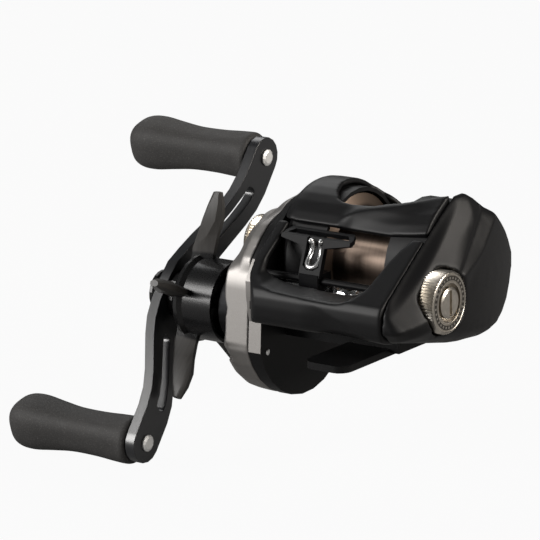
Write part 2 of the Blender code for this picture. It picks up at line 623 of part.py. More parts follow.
for i, side in enumerate((-1, 1)):
    coil("yoke_spring_%d" % (i + 1), (SPOOL[0] + side * SPRING_REACH, SPOOL[1] + 1.6), -37.0, -31.6, 1.5,
         0.25, 4, STEEL)
turned("clutch_cam", [(8.6, -29.3), (8.6, -29.8), (6.3, -29.8), (6.3, -29.3)], SPOOL, STEEL, 16, ring=True)
thumb = rounded([(18.3, 24.6), (18.9, 23.0), (25.0, 23.4), (26.2, 26.0), (24.6, 28.0), (19.4, 28.6)], 1.0, 2)
plate("thumb_bar", [thumb], -11.6, 7.6, BLACK)

# Drive train on the drive shaft

turned("drive_shaft", [(0, -28.5), (2.5, -28.5), (2.5, -42.0), (2.9, -42.0), (2.9, -50.0), (2.45, -50.0),
                       (2.45, -74.6), (0, -74.6)], DRIVE, STEEL, 12)
drive_gear = plate("drive_gear", [gear_loop(DRIVE_TEETH, MODULE, -0.4, DRIVE_PHASE, 0.12), circle(2.8, 14)],
                   -38.0, -35.2, BRASS, DRIVE)
boolean(drive_gear, rod("drag_recess_cut", 12.2, -41.0, -36.4, DRIVE, sides=20))
turned("drag_washer_1", [(11.7, -36.7), (11.7, -37.1), (3.2, -37.1), (3.2, -36.7)], DRIVE, CARBON, 16,
       ring=True)
turned("key_washer", [(11.4, -37.2), (11.4, -37.6), (2.75, -37.6), (2.75, -37.2)], DRIVE, STEEL, 16,
       ring=True)
turned("drag_washer_2", [(11.7, -37.7), (11.7, -38.1), (3.2, -38.1), (3.2, -37.7)], DRIVE, CARBON, 16,
       ring=True)
turned("pressure_plate", [(9.0, -38.3), (9.0, -39.3), (2.75, -39.3), (2.75, -38.3)], DRIVE, STEEL, 16,
       ring=True)
LEVEL_PHASE = 0.0
IDLER_PHASE = meshing(LEVEL_PHASE, LEVEL_TEETH, IDLER_TEETH, DRIVE, IDLER)
WORM_PHASE = meshing(IDLER_PHASE, IDLER_TEETH, WORM_TEETH, IDLER, WORM)
plate("level_wind_drive_gear", [gear_loop(LEVEL_TEETH, MODULE, 0.0, LEVEL_PHASE, 0.14), circle(2.75, 14)],
      -33.8, -32.4, RESIN, DRIVE)
plate("level_wind_idler", [gear_loop(IDLER_TEETH, MODULE, 0.0, IDLER_PHASE, 0.14), circle(1.65, 16)],
      -33.8, -32.4, RESIN, IDLER)
plate("worm_gear", [gear_loop(WORM_TEETH, MODULE, 0.0, WORM_PHASE, 0.14), circle(1.25, 16)],
      -33.8, -32.4, RESIN, WORM)
ratchet = []
for i in range(12):
    ratchet += [(7.2 * math.cos(math.pi * i / 6), 7.2 * math.sin(math.pi * i / 6)),
                (5.6 * math.cos(math.pi * (i + 0.85) / 6), 5.6 * math.sin(math.pi * (i + 0.85) / 6))]
plate("ratchet", [ratchet, circle(2.75, 14)], -34.95, -34.05, STEEL, DRIVE)
turned("one_way_clutch", [(8.1, -42.7), (8.1, -48.8), (5.6, -48.8), (5.6, -48.4), (3.15, -48.4),
                          (3.15, -42.7)], DRIVE, STEEL, 16, ring=True)
turned("spring_washer", [(5.2, -49.5), (6.6, -50.4), (6.6, -50.7), (3.15, -49.8), (3.15, -49.5)],
       DRIVE, STEEL, 16, ring=True)

# Star drag: a skirt and five pointed arms

star_drag = turned("star_drag", [(0, -51.0), (11.5, -51.0), (11.5, -60.6), (12.4, -61.8), (12.0, -63.2),
                                 (8.6, -65.4), (6.0, -66.0), (0, -66.0)], DRIVE, GUNMETAL, 24)
STAR_ROWS = [(9.0, -65.8, -62.0, -58.4, 1.9), (14.0, -64.8, -61.5, -57.6, 1.7),
             (18.3, -63.1, -59.3, -56.6, 1.7), (22.5, -61.5, -56.7, -55.2, 1.9),
             (26.7, -59.8, -56.1, -55.0, 1.6), (STAR_R, -58.2, -56.2, -55.6, 0.9)]
for i in range(5):
    mid = STAR_ANGLE + 2 * math.pi * i / 5
    along = (math.cos(mid), math.sin(mid))
    arm_rings = []
    for reach, outer, crease, back, half in STAR_ROWS:
        corners = [(outer, -half * 0.5), (outer, half * 0.5), (outer + 0.9, half), (crease, half * 0.9),
                   (back, half * 0.4), (back, -half * 0.4), (crease, -half * 0.9), (outer + 0.9, -half)]
        arm_rings.append([(x, DRIVE[0] + reach * along[0] - t * along[1],
                           DRIVE[1] + reach * along[1] + t * along[0])
                          for x, t in corners])
    boolean(star_drag, loft("star_arm_join_%d" % i, arm_rings, None), 'UNION')
boolean(star_drag, turned("skirt_cut", [(0, -49.0), (10.6, -49.0), (10.6, -58.6), (2.8, -58.6), (2.8, -70.0),
                                        (0, -70.0)], DRIVE, None, 20))

# Handle: a bar cranked inwards at both arms, with its nut and its knobs

ACROSS = Vector((0, math.cos(HANDLE_ANGLE), math.sin(HANDLE_ANGLE)))
CRANK = Matrix(((0, 1, 0, 0), (ACROSS.y, 0, ACROSS.z, 0), (ACROSS.z, 0, -ACROSS.y, 0), (0, 0, 0, 1)))
ARM_MID = ARM_IN - ARM_THICK / 2
BEND = (6.0, HANDLE_R - 8.5)
BEND_STEPS = 6
bend = []
for i in range(BEND_STEPS + 1):
    t = i / BEND_STEPS
    bend.append((BEND[0] + (BEND[1] - BEND[0]) * t, HUB_MID + (ARM_MID - HUB_MID) * t * t * (3 - 2 * t)))
bend.append((HANDLE_R + 7.0, ARM_MID))
side = [(-r, x) for r, x in reversed(bend)] + bend
strip = [(r, x + ARM_THICK / 2) for r, x in reversed(side)] + [(r, x - ARM_THICK / 2) for r, x in side]
handle = outline("handle", [strip], place(0, DRIVE) @ CRANK, -9.0, 9.0, FRAME_BLACK)
PLAN = Matrix(((0, 0, 1, 0), (ACROSS.y, -ACROSS.z, 0, 0), (ACROSS.z, ACROSS.y, 0, 0), (0, 0, 0, 1)))
END_R = 5.7
half_plan = arc((HANDLE_R, 0), END_R, -90, 90, 9)
half_plan += [(HANDLE_R - 12.0, 5.2), (20.0, 4.8), (11.0, 6.0), (6.0, 7.4)]
plan = half_plan + [(0.0, 7.8)] + [(-a, -b) for a, b in half_plan] + [(0.0, -7.8)]
SLOT_END = HANDLE_R - 10.0
arm_slot = rounded([(13.0, -1.6), (SLOT_END, -1.9), (SLOT_END, 1.9), (13.0, 1.6)], 1.6, 3)
holes = [circle(2.7, 20), circle(2.1, 16, (HANDLE_R, 0)), circle(2.1, 16, (-HANDLE_R, 0)), arm_slot,
         [(-a, -b) for a, b in arm_slot]]
plan_form = outline("plan_join", [plan] + holes, place(0, DRIVE) @ PLAN, -82.0, -52.0, None)
boolean(handle, plan_form, 'INTERSECT')
turned("handle_collar", [(7.0, -67.2), (7.0, -68.9), (2.75, -68.9), (2.75, -67.2)], DRIVE, GUNMETAL, 16,
       ring=True)
plate("handle_nut", [circle(5.2, 6), circle(2.7, 20)], -74.7, -72.7, STEEL, DRIVE)
turned("nut_cap", [(0, -75.0), (6.0, -75.0), (6.0, -75.9), (5.2, -76.5), (0, -76.5)], DRIVE, GUNMETAL, 22)
turned("nut_cap_screw", [(0, -76.8), (1.6, -76.8), (1.6, -77.2), (1.0, -77.6), (0, -77.6)], DRIVE, STEEL, 14)
KNOB_END = -104.8
knob_profile = [(0, -101.0), (2.3, -101.0), (2.3, -63.8), (5.6, -63.8), (6.6, -64.8), (6.7, -68.0),
                (6.3, -76.0), (6.4, -84.0), (7.2, -91.0), (7.9, -97.0), (7.7, -101.2), (6.0, -104.4),
                (3.2, KNOB_END), (0, KNOB_END)]
for name, sign in (("rear", 1), ("front", -1)):
    at = (DRIVE[0] + sign * HANDLE_R * ACROSS.y, DRIVE[1] + sign * HANDLE_R * ACROSS.z)
    turned("knob_shaft_" + name, [(0, -59.2), (1.6, -59.2), (2.35, -59.6), (2.35, -60.0), (1.9, -60.0),
                                  (1.9, -100.6), (0, -100.6)], at, STEEL, 12)
    turned("knob_" + name, knob_profile, at, FOAM, 16)

# Cast control cap on its boss

cap = plate("cast_control_cap", [knurl(CAP_R, 0.32, 24)], -46.3, -42.5, SILVER, SPOOL)
boolean(cap, turned("cap_bore_cut", [(0, -41.0), (5.5, -41.0), (5.5, -45.4), (0, -45.4)], SPOOL, None, 24))
turned("cast_control_shim", [(0, -44.7), (3.6, -44.7), (3.6, -45.1), (0, -45.1)], SPOOL, BRASS, 16)

# Level wind: worm with two crossing grooves, guide bar, carriage with its wing plate, insert and pawl

WORM_R = 1.9
WORM_SPAN = (-16.4, 8.6)
GROOVE_PITCH = 6.25


def worm_radius(x, turn):
    """The worm's radius: two grooves of opposite hand, run out at the ends."""
    if not WORM_SPAN[0] + 1.0 < x < WORM_SPAN[1] - 1.0:
        return WORM_R
    depth = 0.0
    for hand in (-1, 1):
        off = (turn / (2 * math.pi) - hand * (x - WORM_SPAN[0]) / GROOVE_PITCH) % 1.0
        off = min(off, 1 - off) * GROOVE_PITCH
        depth = max(depth, 0.5 * max(0.0, 1 - (off / 0.95) ** 2))
    return WORM_R - depth


WORM_SIDES = 10
rows = []
for x, radius in ((-34.3, 1.1), (WORM_SPAN[0] - 0.4, 1.1), (WORM_SPAN[0] - 0.4, WORM_R)):
    rows.append([(x, radius)] * WORM_SIDES)
ROWS = 24
for k in range(ROWS + 1):
    x = WORM_SPAN[0] + (WORM_SPAN[1] - WORM_SPAN[0]) * k / ROWS
    rows.append([(x, worm_radius(x, 2 * math.pi * i / WORM_SIDES)) for i in range(WORM_SIDES)])
for x, radius in ((WORM_SPAN[1] + 0.4, WORM_R), (WORM_SPAN[1] + 0.4, 1.1), (17.6, 1.1)):
    rows.append([(x, radius)] * WORM_SIDES)
worm_shaft = loft("worm_shaft", [[(x, r * math.cos(2 * math.pi * i / WORM_SIDES),
                                   r * math.sin(2 * math.pi * i / WORM_SIDES))
                                  for i, (x, r) in enumerate(row)] for row in rows], STEEL)
worm_shaft.matrix_world = place(0, WORM)
rod("guide_bar", 1.0, -26.7, 17.9, GUIDE_BAR, STEEL, 14)

# The guide's upright plate leans back by GUIDE_TILT; its wings run back from the top of it to a rear rim.
WING_HALF = 11.0
WING_RISE = 10.4
UP = Vector((0, math.sin(GUIDE_TILT), math.cos(GUIDE_TILT)))
OUT = Vector((0, -math.cos(GUIDE_TILT), math.sin(GUIDE_TILT)))
GUIDE_FOOT = Vector((GUIDE_X, GUIDE_BAR[0] - 1.1, GUIDE_BAR[1] + 0.9))
UPRIGHT = Matrix(((1, 0, 0, 0), (0, UP.y, OUT.y, 0), (0, UP.z, OUT.z, 0), (0, 0, 0, 1)))
UPRIGHT = Matrix.Translation(GUIDE_FOOT * MM) @ UPRIGHT
half_stem = [(3.3, 0.0), (3.3, WING_RISE - 2.4), (WING_HALF - 0.6, WING_RISE - 1.0),
             (WING_HALF, WING_RISE - 0.8), (WING_HALF, WING_RISE + 0.3), (4.0, WING_RISE)]
half_throat = [(1.0, 1.75), (2.6, 2.9), (2.5, 7.2), (2.6, WING_RISE - 0.6), (2.6, WING_RISE)]
stem = half_stem + half_throat[::-1] + [(-a, b) for a, b in half_throat + half_stem[::-1]]
line_guide = outline("line_guide", [stem], UPRIGHT, -0.8, 0.8, BLACK)
wing_top = GUIDE_FOOT + UP * (WING_RISE - 0.3)
BACK = math.radians(20.0)
LEVEL = Matrix(((1, 0, 0, 0), (0, math.cos(BACK), -math.sin(BACK), 0), (0, math.sin(BACK), math.cos(BACK), 0),
                (0, 0, 0, 1)))
LEVEL = Matrix.Translation(wing_top * MM) @ LEVEL
half_rim = [(WING_HALF, -0.5), (WING_HALF, 1.6), (WING_HALF - 1.2, 3.9)]
half_slot = [(2.6, -0.5), (2.6, 0.8), (WING_HALF - 1.3, 0.8), (WING_HALF - 1.3, 1.4), (WING_HALF - 2.6, 2.8)]
rim = half_rim + [(-a, b) for a, b in half_rim[::-1]] + [(-a, b) for a, b in half_slot] + half_slot[::-1]
boolean(line_guide, outline("wing_join", [rim], LEVEL, -0.6, 0.6, None), 'UNION')
carriage = box("carriage_join", (-3.0, 3.0), (GUIDE_BAR[0] - 2.0, WORM[0] + 1.4),
               (WORM[1] - 2.6, WORM[1] + 5.6), None, place(GUIDE_X))
boolean(line_guide, carriage, 'UNION')
boolean(line_guide, rod("spool_room_cut", TUBE_R + GAP, -30.0, 10.0, SPOOL, sides=40))
boolean(line_guide, rod("worm_room_cut", WORM_R + 0.25, -30.0, 10.0, WORM, sides=18))
boolean(line_guide, rod("bar_room_cut", 1.2, -30.0, 10.0, GUIDE_BAR, sides=14))
PAWL_AT = place(GUIDE_X, (WORM[0], WORM[1]))
boolean(line_guide, outline("pawl_cut", [circle(1.35, 14)], PAWL_AT, -4.6, -0.6, None))
outline("level_wind_pawl", [circle(1.05, 12)], PAWL_AT, -3.6, -2.15, BRASS)
outline("pawl_cap", [circle(2.2, 16)], PAWL_AT, -4.6, -3.85, STEEL)

# The insert's wire, as (half spacing, height, bow to the rear)
WIRE_R = 0.58
path = [(1.75, 10.0, 0.1), (1.4, 8.9, 0.9), (1.45, 7.7, 1.5), (1.65, 6.1, 1.4), (1.8, 4.5, 0.9),
        (1.35, 3.2, 0.4), (0.7, 2.65, 0.1), (0.0, 2.5, 0.0)]
path = path + [(-a, b, c) for a, b, c in reversed(path[:-1])]
curve = bpy.data.curves.new("guide_insert", 'CURVE')
curve.dimensions = '3D'
curve.bevel_depth = WIRE_R * MM
curve.bevel_resolution = 1
curve.use_fill_caps = True
spline = curve.splines.new('POLY')
spline.points.add(len(path) - 1)
for point, (a, b, c) in zip(spline.points, path):
    point.co = (a * MM, b * MM, -c * MM, 1)
wire = bpy.data.objects.new("insert_path", curve)
CUTTERS.objects.link(wire)
insert_mesh = evaluated_mesh(wire)
bpy.data.objects.remove(wire, do_unlink=True)
add("guide_insert", insert_mesh, UPRIGHT @ Matrix.Translation((0, 0, 0.5 * MM)), CHROME)
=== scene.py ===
"""Baitcasting reel: finished shells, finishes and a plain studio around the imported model."""
import math

import bmesh
import bpy
from bpy.props import FloatProperty, FloatVectorProperty, PointerProperty
from mathutils import Matrix, Vector


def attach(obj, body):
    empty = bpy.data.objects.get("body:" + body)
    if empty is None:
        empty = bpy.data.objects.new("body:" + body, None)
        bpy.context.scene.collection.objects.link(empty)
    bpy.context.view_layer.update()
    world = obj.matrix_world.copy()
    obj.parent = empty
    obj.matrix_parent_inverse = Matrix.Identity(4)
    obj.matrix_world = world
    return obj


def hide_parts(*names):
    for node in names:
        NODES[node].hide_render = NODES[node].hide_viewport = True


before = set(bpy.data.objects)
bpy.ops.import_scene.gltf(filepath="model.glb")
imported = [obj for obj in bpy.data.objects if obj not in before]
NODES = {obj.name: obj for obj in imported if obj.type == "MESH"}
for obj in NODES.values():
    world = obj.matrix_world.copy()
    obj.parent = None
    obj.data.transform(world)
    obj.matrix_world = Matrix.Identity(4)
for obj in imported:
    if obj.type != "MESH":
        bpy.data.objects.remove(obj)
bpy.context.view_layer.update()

bl_info = {
    "name": "Baitcasting Reel",
    "version": (1, 0, 0),
    "blender": (4, 5, 0),
    "location": "3D View > Sidebar > Reel",
    "description": "Dresses the packed baitcasting reel with finished shells, materials and a studio",
    "category": "Object",
}

MM = 0.001

# The X lines, as (Y, Z) in millimetres, that the spool, the handle and the brake dial turn about
SPOOL = (0.0, 22.0)
DRIVE = (-4.85, 4.406)
DIAL = (-19.0, 18.8)

# How near two points lie, in metres, to be joined into one
WELD = 0.000003


class Value:
    """A socket of a finish that takes part in plain arithmetic."""

    def __init__(self, finish, socket):
        self.finish = finish
        self.socket = socket

    def __add__(self, other):
        return self.finish.math('ADD', self, other)

    def __sub__(self, other):
        return self.finish.math('SUBTRACT', self, other)

    def __rsub__(self, other):
        return self.finish.math('SUBTRACT', other, self)

    def __mul__(self, other):
        return self.finish.math('MULTIPLY', self, other)

    def __truediv__(self, other):
        return self.finish.math('DIVIDE', self, other)

    def __pow__(self, other):
        return self.finish.math('POWER', self, other)

    __radd__ = __add__
    __rmul__ = __mul__

    def sine(self):
        """The sine of this value, taken as radians."""
        return self.finish.math('SINE', self)

    def between(self, low, high):
        """Nought below low, one above high and a straight ramp from one to the other."""
        return self.finish.node("ShaderNodeMapRange", {"clamp": True},
                                {"Value": self, "From Min": low, "From Max": high})


class Finish:
    """A material in the making, around one Principled shader; its patterns lie on Object coordinates."""

    def __init__(self, name, **fixed):
        self.material = bpy.data.materials.new(name)
        self.material.use_nodes = True
        self.nodes = self.material.node_tree.nodes
        self.links = self.material.node_tree.links
        self.shader = self.nodes["Principled BSDF"]
        self.where = self.node("ShaderNodeTexCoord", output="Object")
        for socket, value in fixed.items():
            self.set(socket.replace("_", " "), value)

    def feed(self, socket, value):
        """Links a value to a socket, or sets a plain number or colour on it."""
        if isinstance(value, Value):
            self.links.new(value.socket, socket)
        else:
            socket.default_value = value

    def node(self, kind, settings=None, sockets=None, output=0):
        """Adds a node: its settings first, then the values or links of its sockets."""
        made = self.nodes.new(kind)
        for key, value in (settings or {}).items():
            setattr(made, key, value)
        for key, value in (sockets or {}).items():
            self.feed(made.inputs[key], value)
        return Value(self, made.outputs[output])

    def math(self, operation, *values):
        """One step of arithmetic on values or plain numbers."""
        return self.node("ShaderNodeMath", {"operation": operation}, dict(enumerate(values)))

    def set(self, socket, value):
        """Sets or links one of the shader's own sockets."""
        if socket == "Base Color" and not isinstance(value, Value):
            value = (*value[:3], 1.0)
        self.feed(self.shader.inputs[socket], value)

    def noise(self, scale, detail=2.0, rough=0.5, stretch=None):
        """Noise of so many waves to the metre, stretched along an axis if asked."""
        where = self.where
        if stretch:
            where = self.node("ShaderNodeMapping", None, {"Vector": where, "Scale": stretch})
        return self.node("ShaderNodeTexNoise", None,
                         {"Vector": where, "Scale": scale, "Detail": detail, "Roughness": rough})

    def axes(self):
        """The three Object coordinates, in metres."""
        split = self.node("ShaderNodeSeparateXYZ", None, {"Vector": self.where})
        return [Value(self, split.socket.node.outputs[i]) for i in range(3)]

    def reach(self, centre):
        """The distance in metres from the X line through centre, given as (Y, Z) in millimetres."""
        _, y, z = self.axes()
        return ((y - centre[0] * MM) ** 2 + (z - centre[1] * MM) ** 2) ** 0.5

    def mix(self, share, one, two):
        """One colour passing into another."""
        sockets = {0: share}
        for slot, colour in ((6, one), (7, two)):
            sockets[slot] = colour if isinstance(colour, Value) else (*colour[:3], 1.0)
        return self.node("ShaderNodeMix", {"data_type": 'RGBA'}, sockets, output=2)

    def bump(self, height, distance, strength=1.0):
        """Raises the surface by height, distance metres at the most."""
        self.set("Normal", self.node("ShaderNodeBump", None,
                                     {"Strength": strength, "Distance": distance, "Height": height}))


def paint_black():
    """Satin black paint: a fine flat grain with a little cloudiness in its sheen."""
    f = Finish("satin_black_paint", Metallic=0.0, Specular_IOR_Level=0.24)
    cloud = f.noise(140.0, 3.0)
    grain = f.noise(5200.0, 1.0)
    f.set("Base Color", f.mix(grain, (0.003, 0.003, 0.0034), (0.007, 0.007, 0.0076)))
    f.set("Roughness", 0.40 + 0.03 * cloud + 0.05 * grain)
    f.bump(grain, 0.00001, 0.35)
    return f.material


def cast_black():
    """Black anodised casting, a little rougher and greyer than the paint."""
    f = Finish("black_anodised_casting", Metallic=0.0, Specular_IOR_Level=0.18)
    grain = f.noise(2600.0, 3.0)
    f.set("Base Color", f.mix(grain, (0.0036, 0.0036, 0.004), (0.009, 0.009, 0.0096)))
    f.set("Roughness", 0.38 + 0.14 * grain)
    f.bump(grain, 0.00002, 0.4)
    return f.material


def guide_black():
    """Dull black of the line guide and its bar, which hardly shines."""
    f = Finish("dull_black_resin", Metallic=0.0, Specular_IOR_Level=0.12)
    grain = f.noise(3200.0, 2.0)
    f.set("Base Color", f.mix(grain, (0.0024, 0.0024, 0.0028), (0.006, 0.006, 0.0066)))
    f.set("Roughness", 0.42 + 0.10 * grain)
    f.bump(grain, 0.00001, 0.3)
    return f.material


def handle_black():
    """Anodised bar stock: blue-black, bead blasted, with a drawn grain."""
    f = Finish("blue_black_anodised_bar", Metallic=0.0, Specular_IOR_Level=1.0)
    grain = f.noise(3800.0, 2.0)
    drawn = f.noise(900.0, 2.0, stretch=(1.0, 0.12, 0.12))
    f.set("Base Color", f.mix(drawn, (0.0036, 0.004, 0.0052), (0.0084, 0.0094, 0.0116)))
    f.set("Roughness", 0.26 + 0.08 * grain)
    f.bump(grain, 0.00001, 0.3)
    return f.material


# Where the clutch boss's dark ring starts along -X and where it ends from the handle's axis, in metres
BOSS_FACE = (0.0419, 0.0423)
BOSS_EDGE = (0.0106, 0.0110)


def gunmetal():
    """Dark metallic lacquer over the gear cover, with fine flake."""
    f = Finish("gunmetal_lacquer", Metallic=1.0)
    flake = f.noise(4200.0, 1.0)
    cloud = f.noise(90.0, 2.0)
    x = f.axes()[0]
    ring = (0.0 - x).between(*BOSS_FACE) * (1.0 - f.reach(DRIVE).between(*BOSS_EDGE))
    body = f.mix(flake, (0.265, 0.253, 0.243), (0.353, 0.339, 0.325))
    f.set("Base Color", f.mix(ring, body, (0.023, 0.023, 0.024)))
    f.set("Roughness", 0.45 + 0.04 * cloud + 0.06 * flake)
    f.bump(flake, 0.000008, 0.3)
    return f.material


# Where the star's blades leave its skirt, from the handle's axis in metres
BLADE_ROOT = (0.0128, 0.0136)


def star_metal():
    """The star wheel: gloss black over its skirt, satin brown-grey along its blades."""
    f = Finish("star_wheel_anodised", Metallic=0.0, Specular_IOR_Level=0.45)
    grain = f.noise(3000.0, 2.0)
    brushed = f.noise(1500.0, 2.0, stretch=(1.0, 0.1, 0.1))
    blade = f.reach(DRIVE).between(*BLADE_ROOT)
    silk = f.mix(brushed, (0.032, 0.030, 0.028), (0.060, 0.056, 0.052))
    f.set("Base Color", f.mix(blade, (0.008, 0.008, 0.0084), silk))
    f.set("Roughness", 0.24 + 0.16 * blade + 0.08 * grain)
    f.bump(grain, 0.00001, 0.3)
    return f.material


def turned_metal(name, dark, light, rough, centre, pitch, depth=0.000012):
    """Metal off the lathe: fine rings about an X line, pitch millimetres apart."""
    f = Finish(name, Metallic=1.0)
    x = f.axes()[0]
    rings = ((f.reach(centre) + 0.7 * x) * (2 * math.pi / (pitch * MM))).sine() * 0.5 + 0.5
    drift = f.noise(700.0, 2.0)
    f.set("Base Color", f.mix(0.6 * rings + 0.4 * drift, dark, light))
    f.set("Roughness", rough + 0.08 * drift)
    f.bump(rings, depth, 0.5)
    return f.material


# Where the spool's flanges rise from its barrel, and where the barrel's painted shade gives way to them, from
# the spool's axis in metres
FLANGE_FOOT = (0.0137, 0.0145)


def spool_metal():
    """Anodised spool: dark bronze flanges on a paler drum, whose bronze is painted darker as painted shade for
    the shadow under the hood.
    """
    f = Finish("dark_bronze_anodised", Metallic=1.0)
    flange = f.reach(SPOOL).between(*FLANGE_FOOT)
    turned_grain = f.noise(1200.0, 2.0, stretch=(1.0, 0.1, 0.1))
    # The drum's bronze is painted darker than the flanges: painted shade for the shadow under the hood.
    painted_shade_barrel = f.mix(turned_grain, (0.082, 0.062, 0.049), (0.138, 0.106, 0.086))
    f.set("Base Color", f.mix(flange, painted_shade_barrel, (0.164, 0.124, 0.097)))
    f.set("Roughness", 0.34 + 0.06 * flange + 0.04 * turned_grain)
    f.bump(turned_grain, 0.000002, 0.2)
    return f.material


# The dark ring on the dial's face and the marks in it, from the dial's axis in metres, and how many marks
RING_STARTS, RING_ENDS = (0.00592, 0.00602), (0.00712, 0.00722)
MARKS_START, MARKS_END = (0.0062, 0.0063), (0.0068, 0.0069)
MARKS = 30


def dial_metal(warm):
    """The brake dial: turned champagne metal with a darker ring of raised marks on its face."""
    f = Finish("champagne_dial", Metallic=1.0)
    _, y, z = f.axes()
    reach = f.reach(DIAL)
    angle = f.math('ARCTAN2', z - DIAL[1] * MM, y - DIAL[0] * MM)
    drift = f.noise(700.0, 2.0)
    ring = reach.between(*RING_STARTS) * (1.0 - reach.between(*RING_ENDS))
    marks = (angle * MARKS).sine().between(0.1, 0.5)
    marks = marks * reach.between(*MARKS_START) * (1.0 - reach.between(*MARKS_END))
    metal = f.mix(drift, *warm)
    shaded = f.mix(marks, (0.110, 0.101, 0.088), metal)
    f.set("Base Color", f.mix(ring, metal, shaded))
    f.set("Roughness", 0.26 + 0.08 * drift)
    f.bump(marks * ring + 0.3 * drift, 0.00006, 0.5)
    return f.material


def plain_metal(name, dark, light, rough):
    """Bright pressed or ground metal with a fine random grain."""
    f = Finish(name, Metallic=1.0)
    grain = f.noise(2400.0, 3.0)
    f.set("Base Color", f.mix(grain, dark, light))
    f.set("Roughness", rough + 0.12 * grain)
    f.bump(grain, 0.000008, 0.3)
    return f.material


def foam():
    """Charcoal EVA foam: cells pressed flat, with pale specks and a dull sheen."""
    f = Finish("charcoal_foam", Metallic=0.0, Specular_IOR_Level=0.5)
    cells = f.node("ShaderNodeTexVoronoi", None, {"Vector": f.where, "Scale": 1900.0}, output="Distance")
    fine = f.noise(3600.0, 3.0, 0.6)
    cloud = f.noise(260.0, 3.0)
    speck = fine.between(0.56, 0.70)
    body = f.mix(cloud, (0.024, 0.0230, 0.0222), (0.040, 0.0384, 0.0370))
    f.set("Base Color", f.mix(0.5 * speck, body, (0.150, 0.145, 0.138)))
    f.set("Roughness", 0.62 + 0.16 * cloud)
    f.bump(0.6 * cells + 0.6 * fine, 0.00006, 0.7)
    return f.material


def carbon():
    """Drag washer cloth: a twill of dark fibres."""
    f = Finish("carbon_cloth", Metallic=0.0)
    _, y, z = f.axes()
    weave = 5200.0
    twill = ((y + z) * weave).sine() * ((y - z) * weave).sine()
    f.set("Base Color", f.mix(twill.between(-0.4, 0.4), (0.010, 0.010, 0.011), (0.045, 0.045, 0.047)))
    f.set("Roughness", 0.45 + 0.2 * twill.between(-1.0, 1.0))
    f.bump(twill, 0.00003, 0.5)
    return f.material


def resin():
    """Moulded dark resin of the small gears and the yoke."""
    f = Finish("dark_resin", Metallic=0.0)
    grain = f.noise(1800.0, 3.0)
    f.set("Base Color", f.mix(grain, (0.030, 0.030, 0.033), (0.060, 0.060, 0.065)))
    f.set("Roughness", 0.42 + 0.15 * grain)
    f.bump(grain, 0.00002, 0.4)
    return f.material


FINISHES = {}


def make_finishes():
    """Makes every finish of the reel, under the name that the pieces ask for it by."""
    warm = ((0.43, 0.398, 0.348), (0.76, 0.71, 0.635))
    grey = ((0.72, 0.72, 0.72), (0.93, 0.93, 0.92))
    FINISHES.update({
        "paint": paint_black(),
        "casting": cast_black(),
        "bar": handle_black(),
        "guide": guide_black(),
        "gunmetal": gunmetal(),
        "star": star_metal(),
        "foam": foam(),
        "carbon": carbon(),
        "resin": resin(),
        "spool": spool_metal(),
        "dial": dial_metal(warm),
        "cap": turned_metal("champagne_cap", (0.46, 0.415, 0.35), (0.85, 0.78, 0.67), 0.26, SPOOL, 0.45),
        "steel": plain_metal("ground_steel", *grey, 0.2),
        "satin": plain_metal("satin_steel", (0.80, 0.80, 0.79), (0.94, 0.94, 0.93), 0.52),
        "shaft_steel": turned_metal("turned_steel", *grey, 0.22, DRIVE, 0.4),
        "brass": plain_metal("cut_brass", (0.80, 0.56, 0.21), (0.94, 0.70, 0.32), 0.24),
        "chrome": plain_metal("polished_chrome", (0.90, 0.90, 0.90), (0.96, 0.96, 0.95), 0.2),
    })


class ReelStageSettings(bpy.types.PropertyGroup):
    """The floor and the lens of the studio"""
    floor_drop: FloatProperty(name="Floor height", description="Level of the floor under the reel",
                              default=-0.0388, unit='LENGTH')
    floor_tone: FloatVectorProperty(name="Floor colour", description="Colour of the pale floor",
                                    subtype='COLOR', default=(0.24, 0.24, 0.24), min=0.0, max=1.0)
    lens: FloatProperty(name="Lens", description="Focal length of the camera",
                        default=240.65, subtype='DISTANCE_CAMERA')


# The camera: its place in millimetres, its axes, its sensor in millimetres and what it sees, in metres
CAMERA_AT = (519.766, -778.881, 260.673)
CAMERA_RIGHT = (0.813422, 0.581428, -0.016903)
CAMERA_UP = (-0.131449, 0.212050, 0.968378)
CAMERA_BACK = (0.566626, -0.785478, 0.248915)
SENSOR = 36.0
CLIP = (0.05, 50.0)

# Softboxes: where each stands, its width and height in metres, its watts and its tint
LAMPS = {
    "key_left": ((-0.60, -0.77, 0.40), (0.42, 0.66), 10.5, (1.0, 0.985, 0.97)),
    "rear_right": ((0.87, 0.33, 0.49), (0.44, 0.44), 8.5, (1.0, 0.94, 0.87)),
    "front_right": ((0.95, -0.30, 0.42), (0.30, 0.30), 2.2, (1.0, 0.96, 0.91)),
    "rear_left": ((-0.62, 0.60, 0.70), (0.60, 0.60), 2.4, (1.0, 1.0, 1.0)),
}
LAMP_AIM = Vector((-0.02, 0.0, 0.01))

# How white the camera sees the paper, how much of it and the room shows in gloss, the room's own light, and
# the floor's radius in metres
PAPER_WHITE = 0.95
GLOSSY_SHARE = 0.06
ROOM = 0.02
FLOOR_R = 6.0


def hang_lamps(scene):
    """Hangs the softboxes round the reel, all turned to its middle."""
    for name, (at, span, power, tint) in LAMPS.items():
        light = bpy.data.lights.new(name, 'AREA')
        light.shape = 'RECTANGLE'
        light.size, light.size_y = span
        light.energy = power
        light.color = tint
        lamp = bpy.data.objects.new(name, light)
        scene.collection.objects.link(lamp)
        lamp.location = at
        lamp.rotation_euler = (LAMP_AIM - Vector(at)).to_track_quat('-Z', 'Y').to_euler()


def set_camera(scene, lens):
    """Stands the camera where it sees the reel as the photograph does."""
    camera = bpy.data.cameras.new("camera")
    camera.lens = lens
    camera.sensor_width = SENSOR
    camera.clip_start, camera.clip_end = CLIP
    eye = bpy.data.objects.new("camera", camera)
    scene.collection.objects.link(eye)
    axes = Matrix((CAMERA_RIGHT, CAMERA_UP, CAMERA_BACK)).transposed().to_4x4()
    eye.matrix_world = Matrix.Translation(Vector(CAMERA_AT) * MM) @ axes
    scene.camera = eye


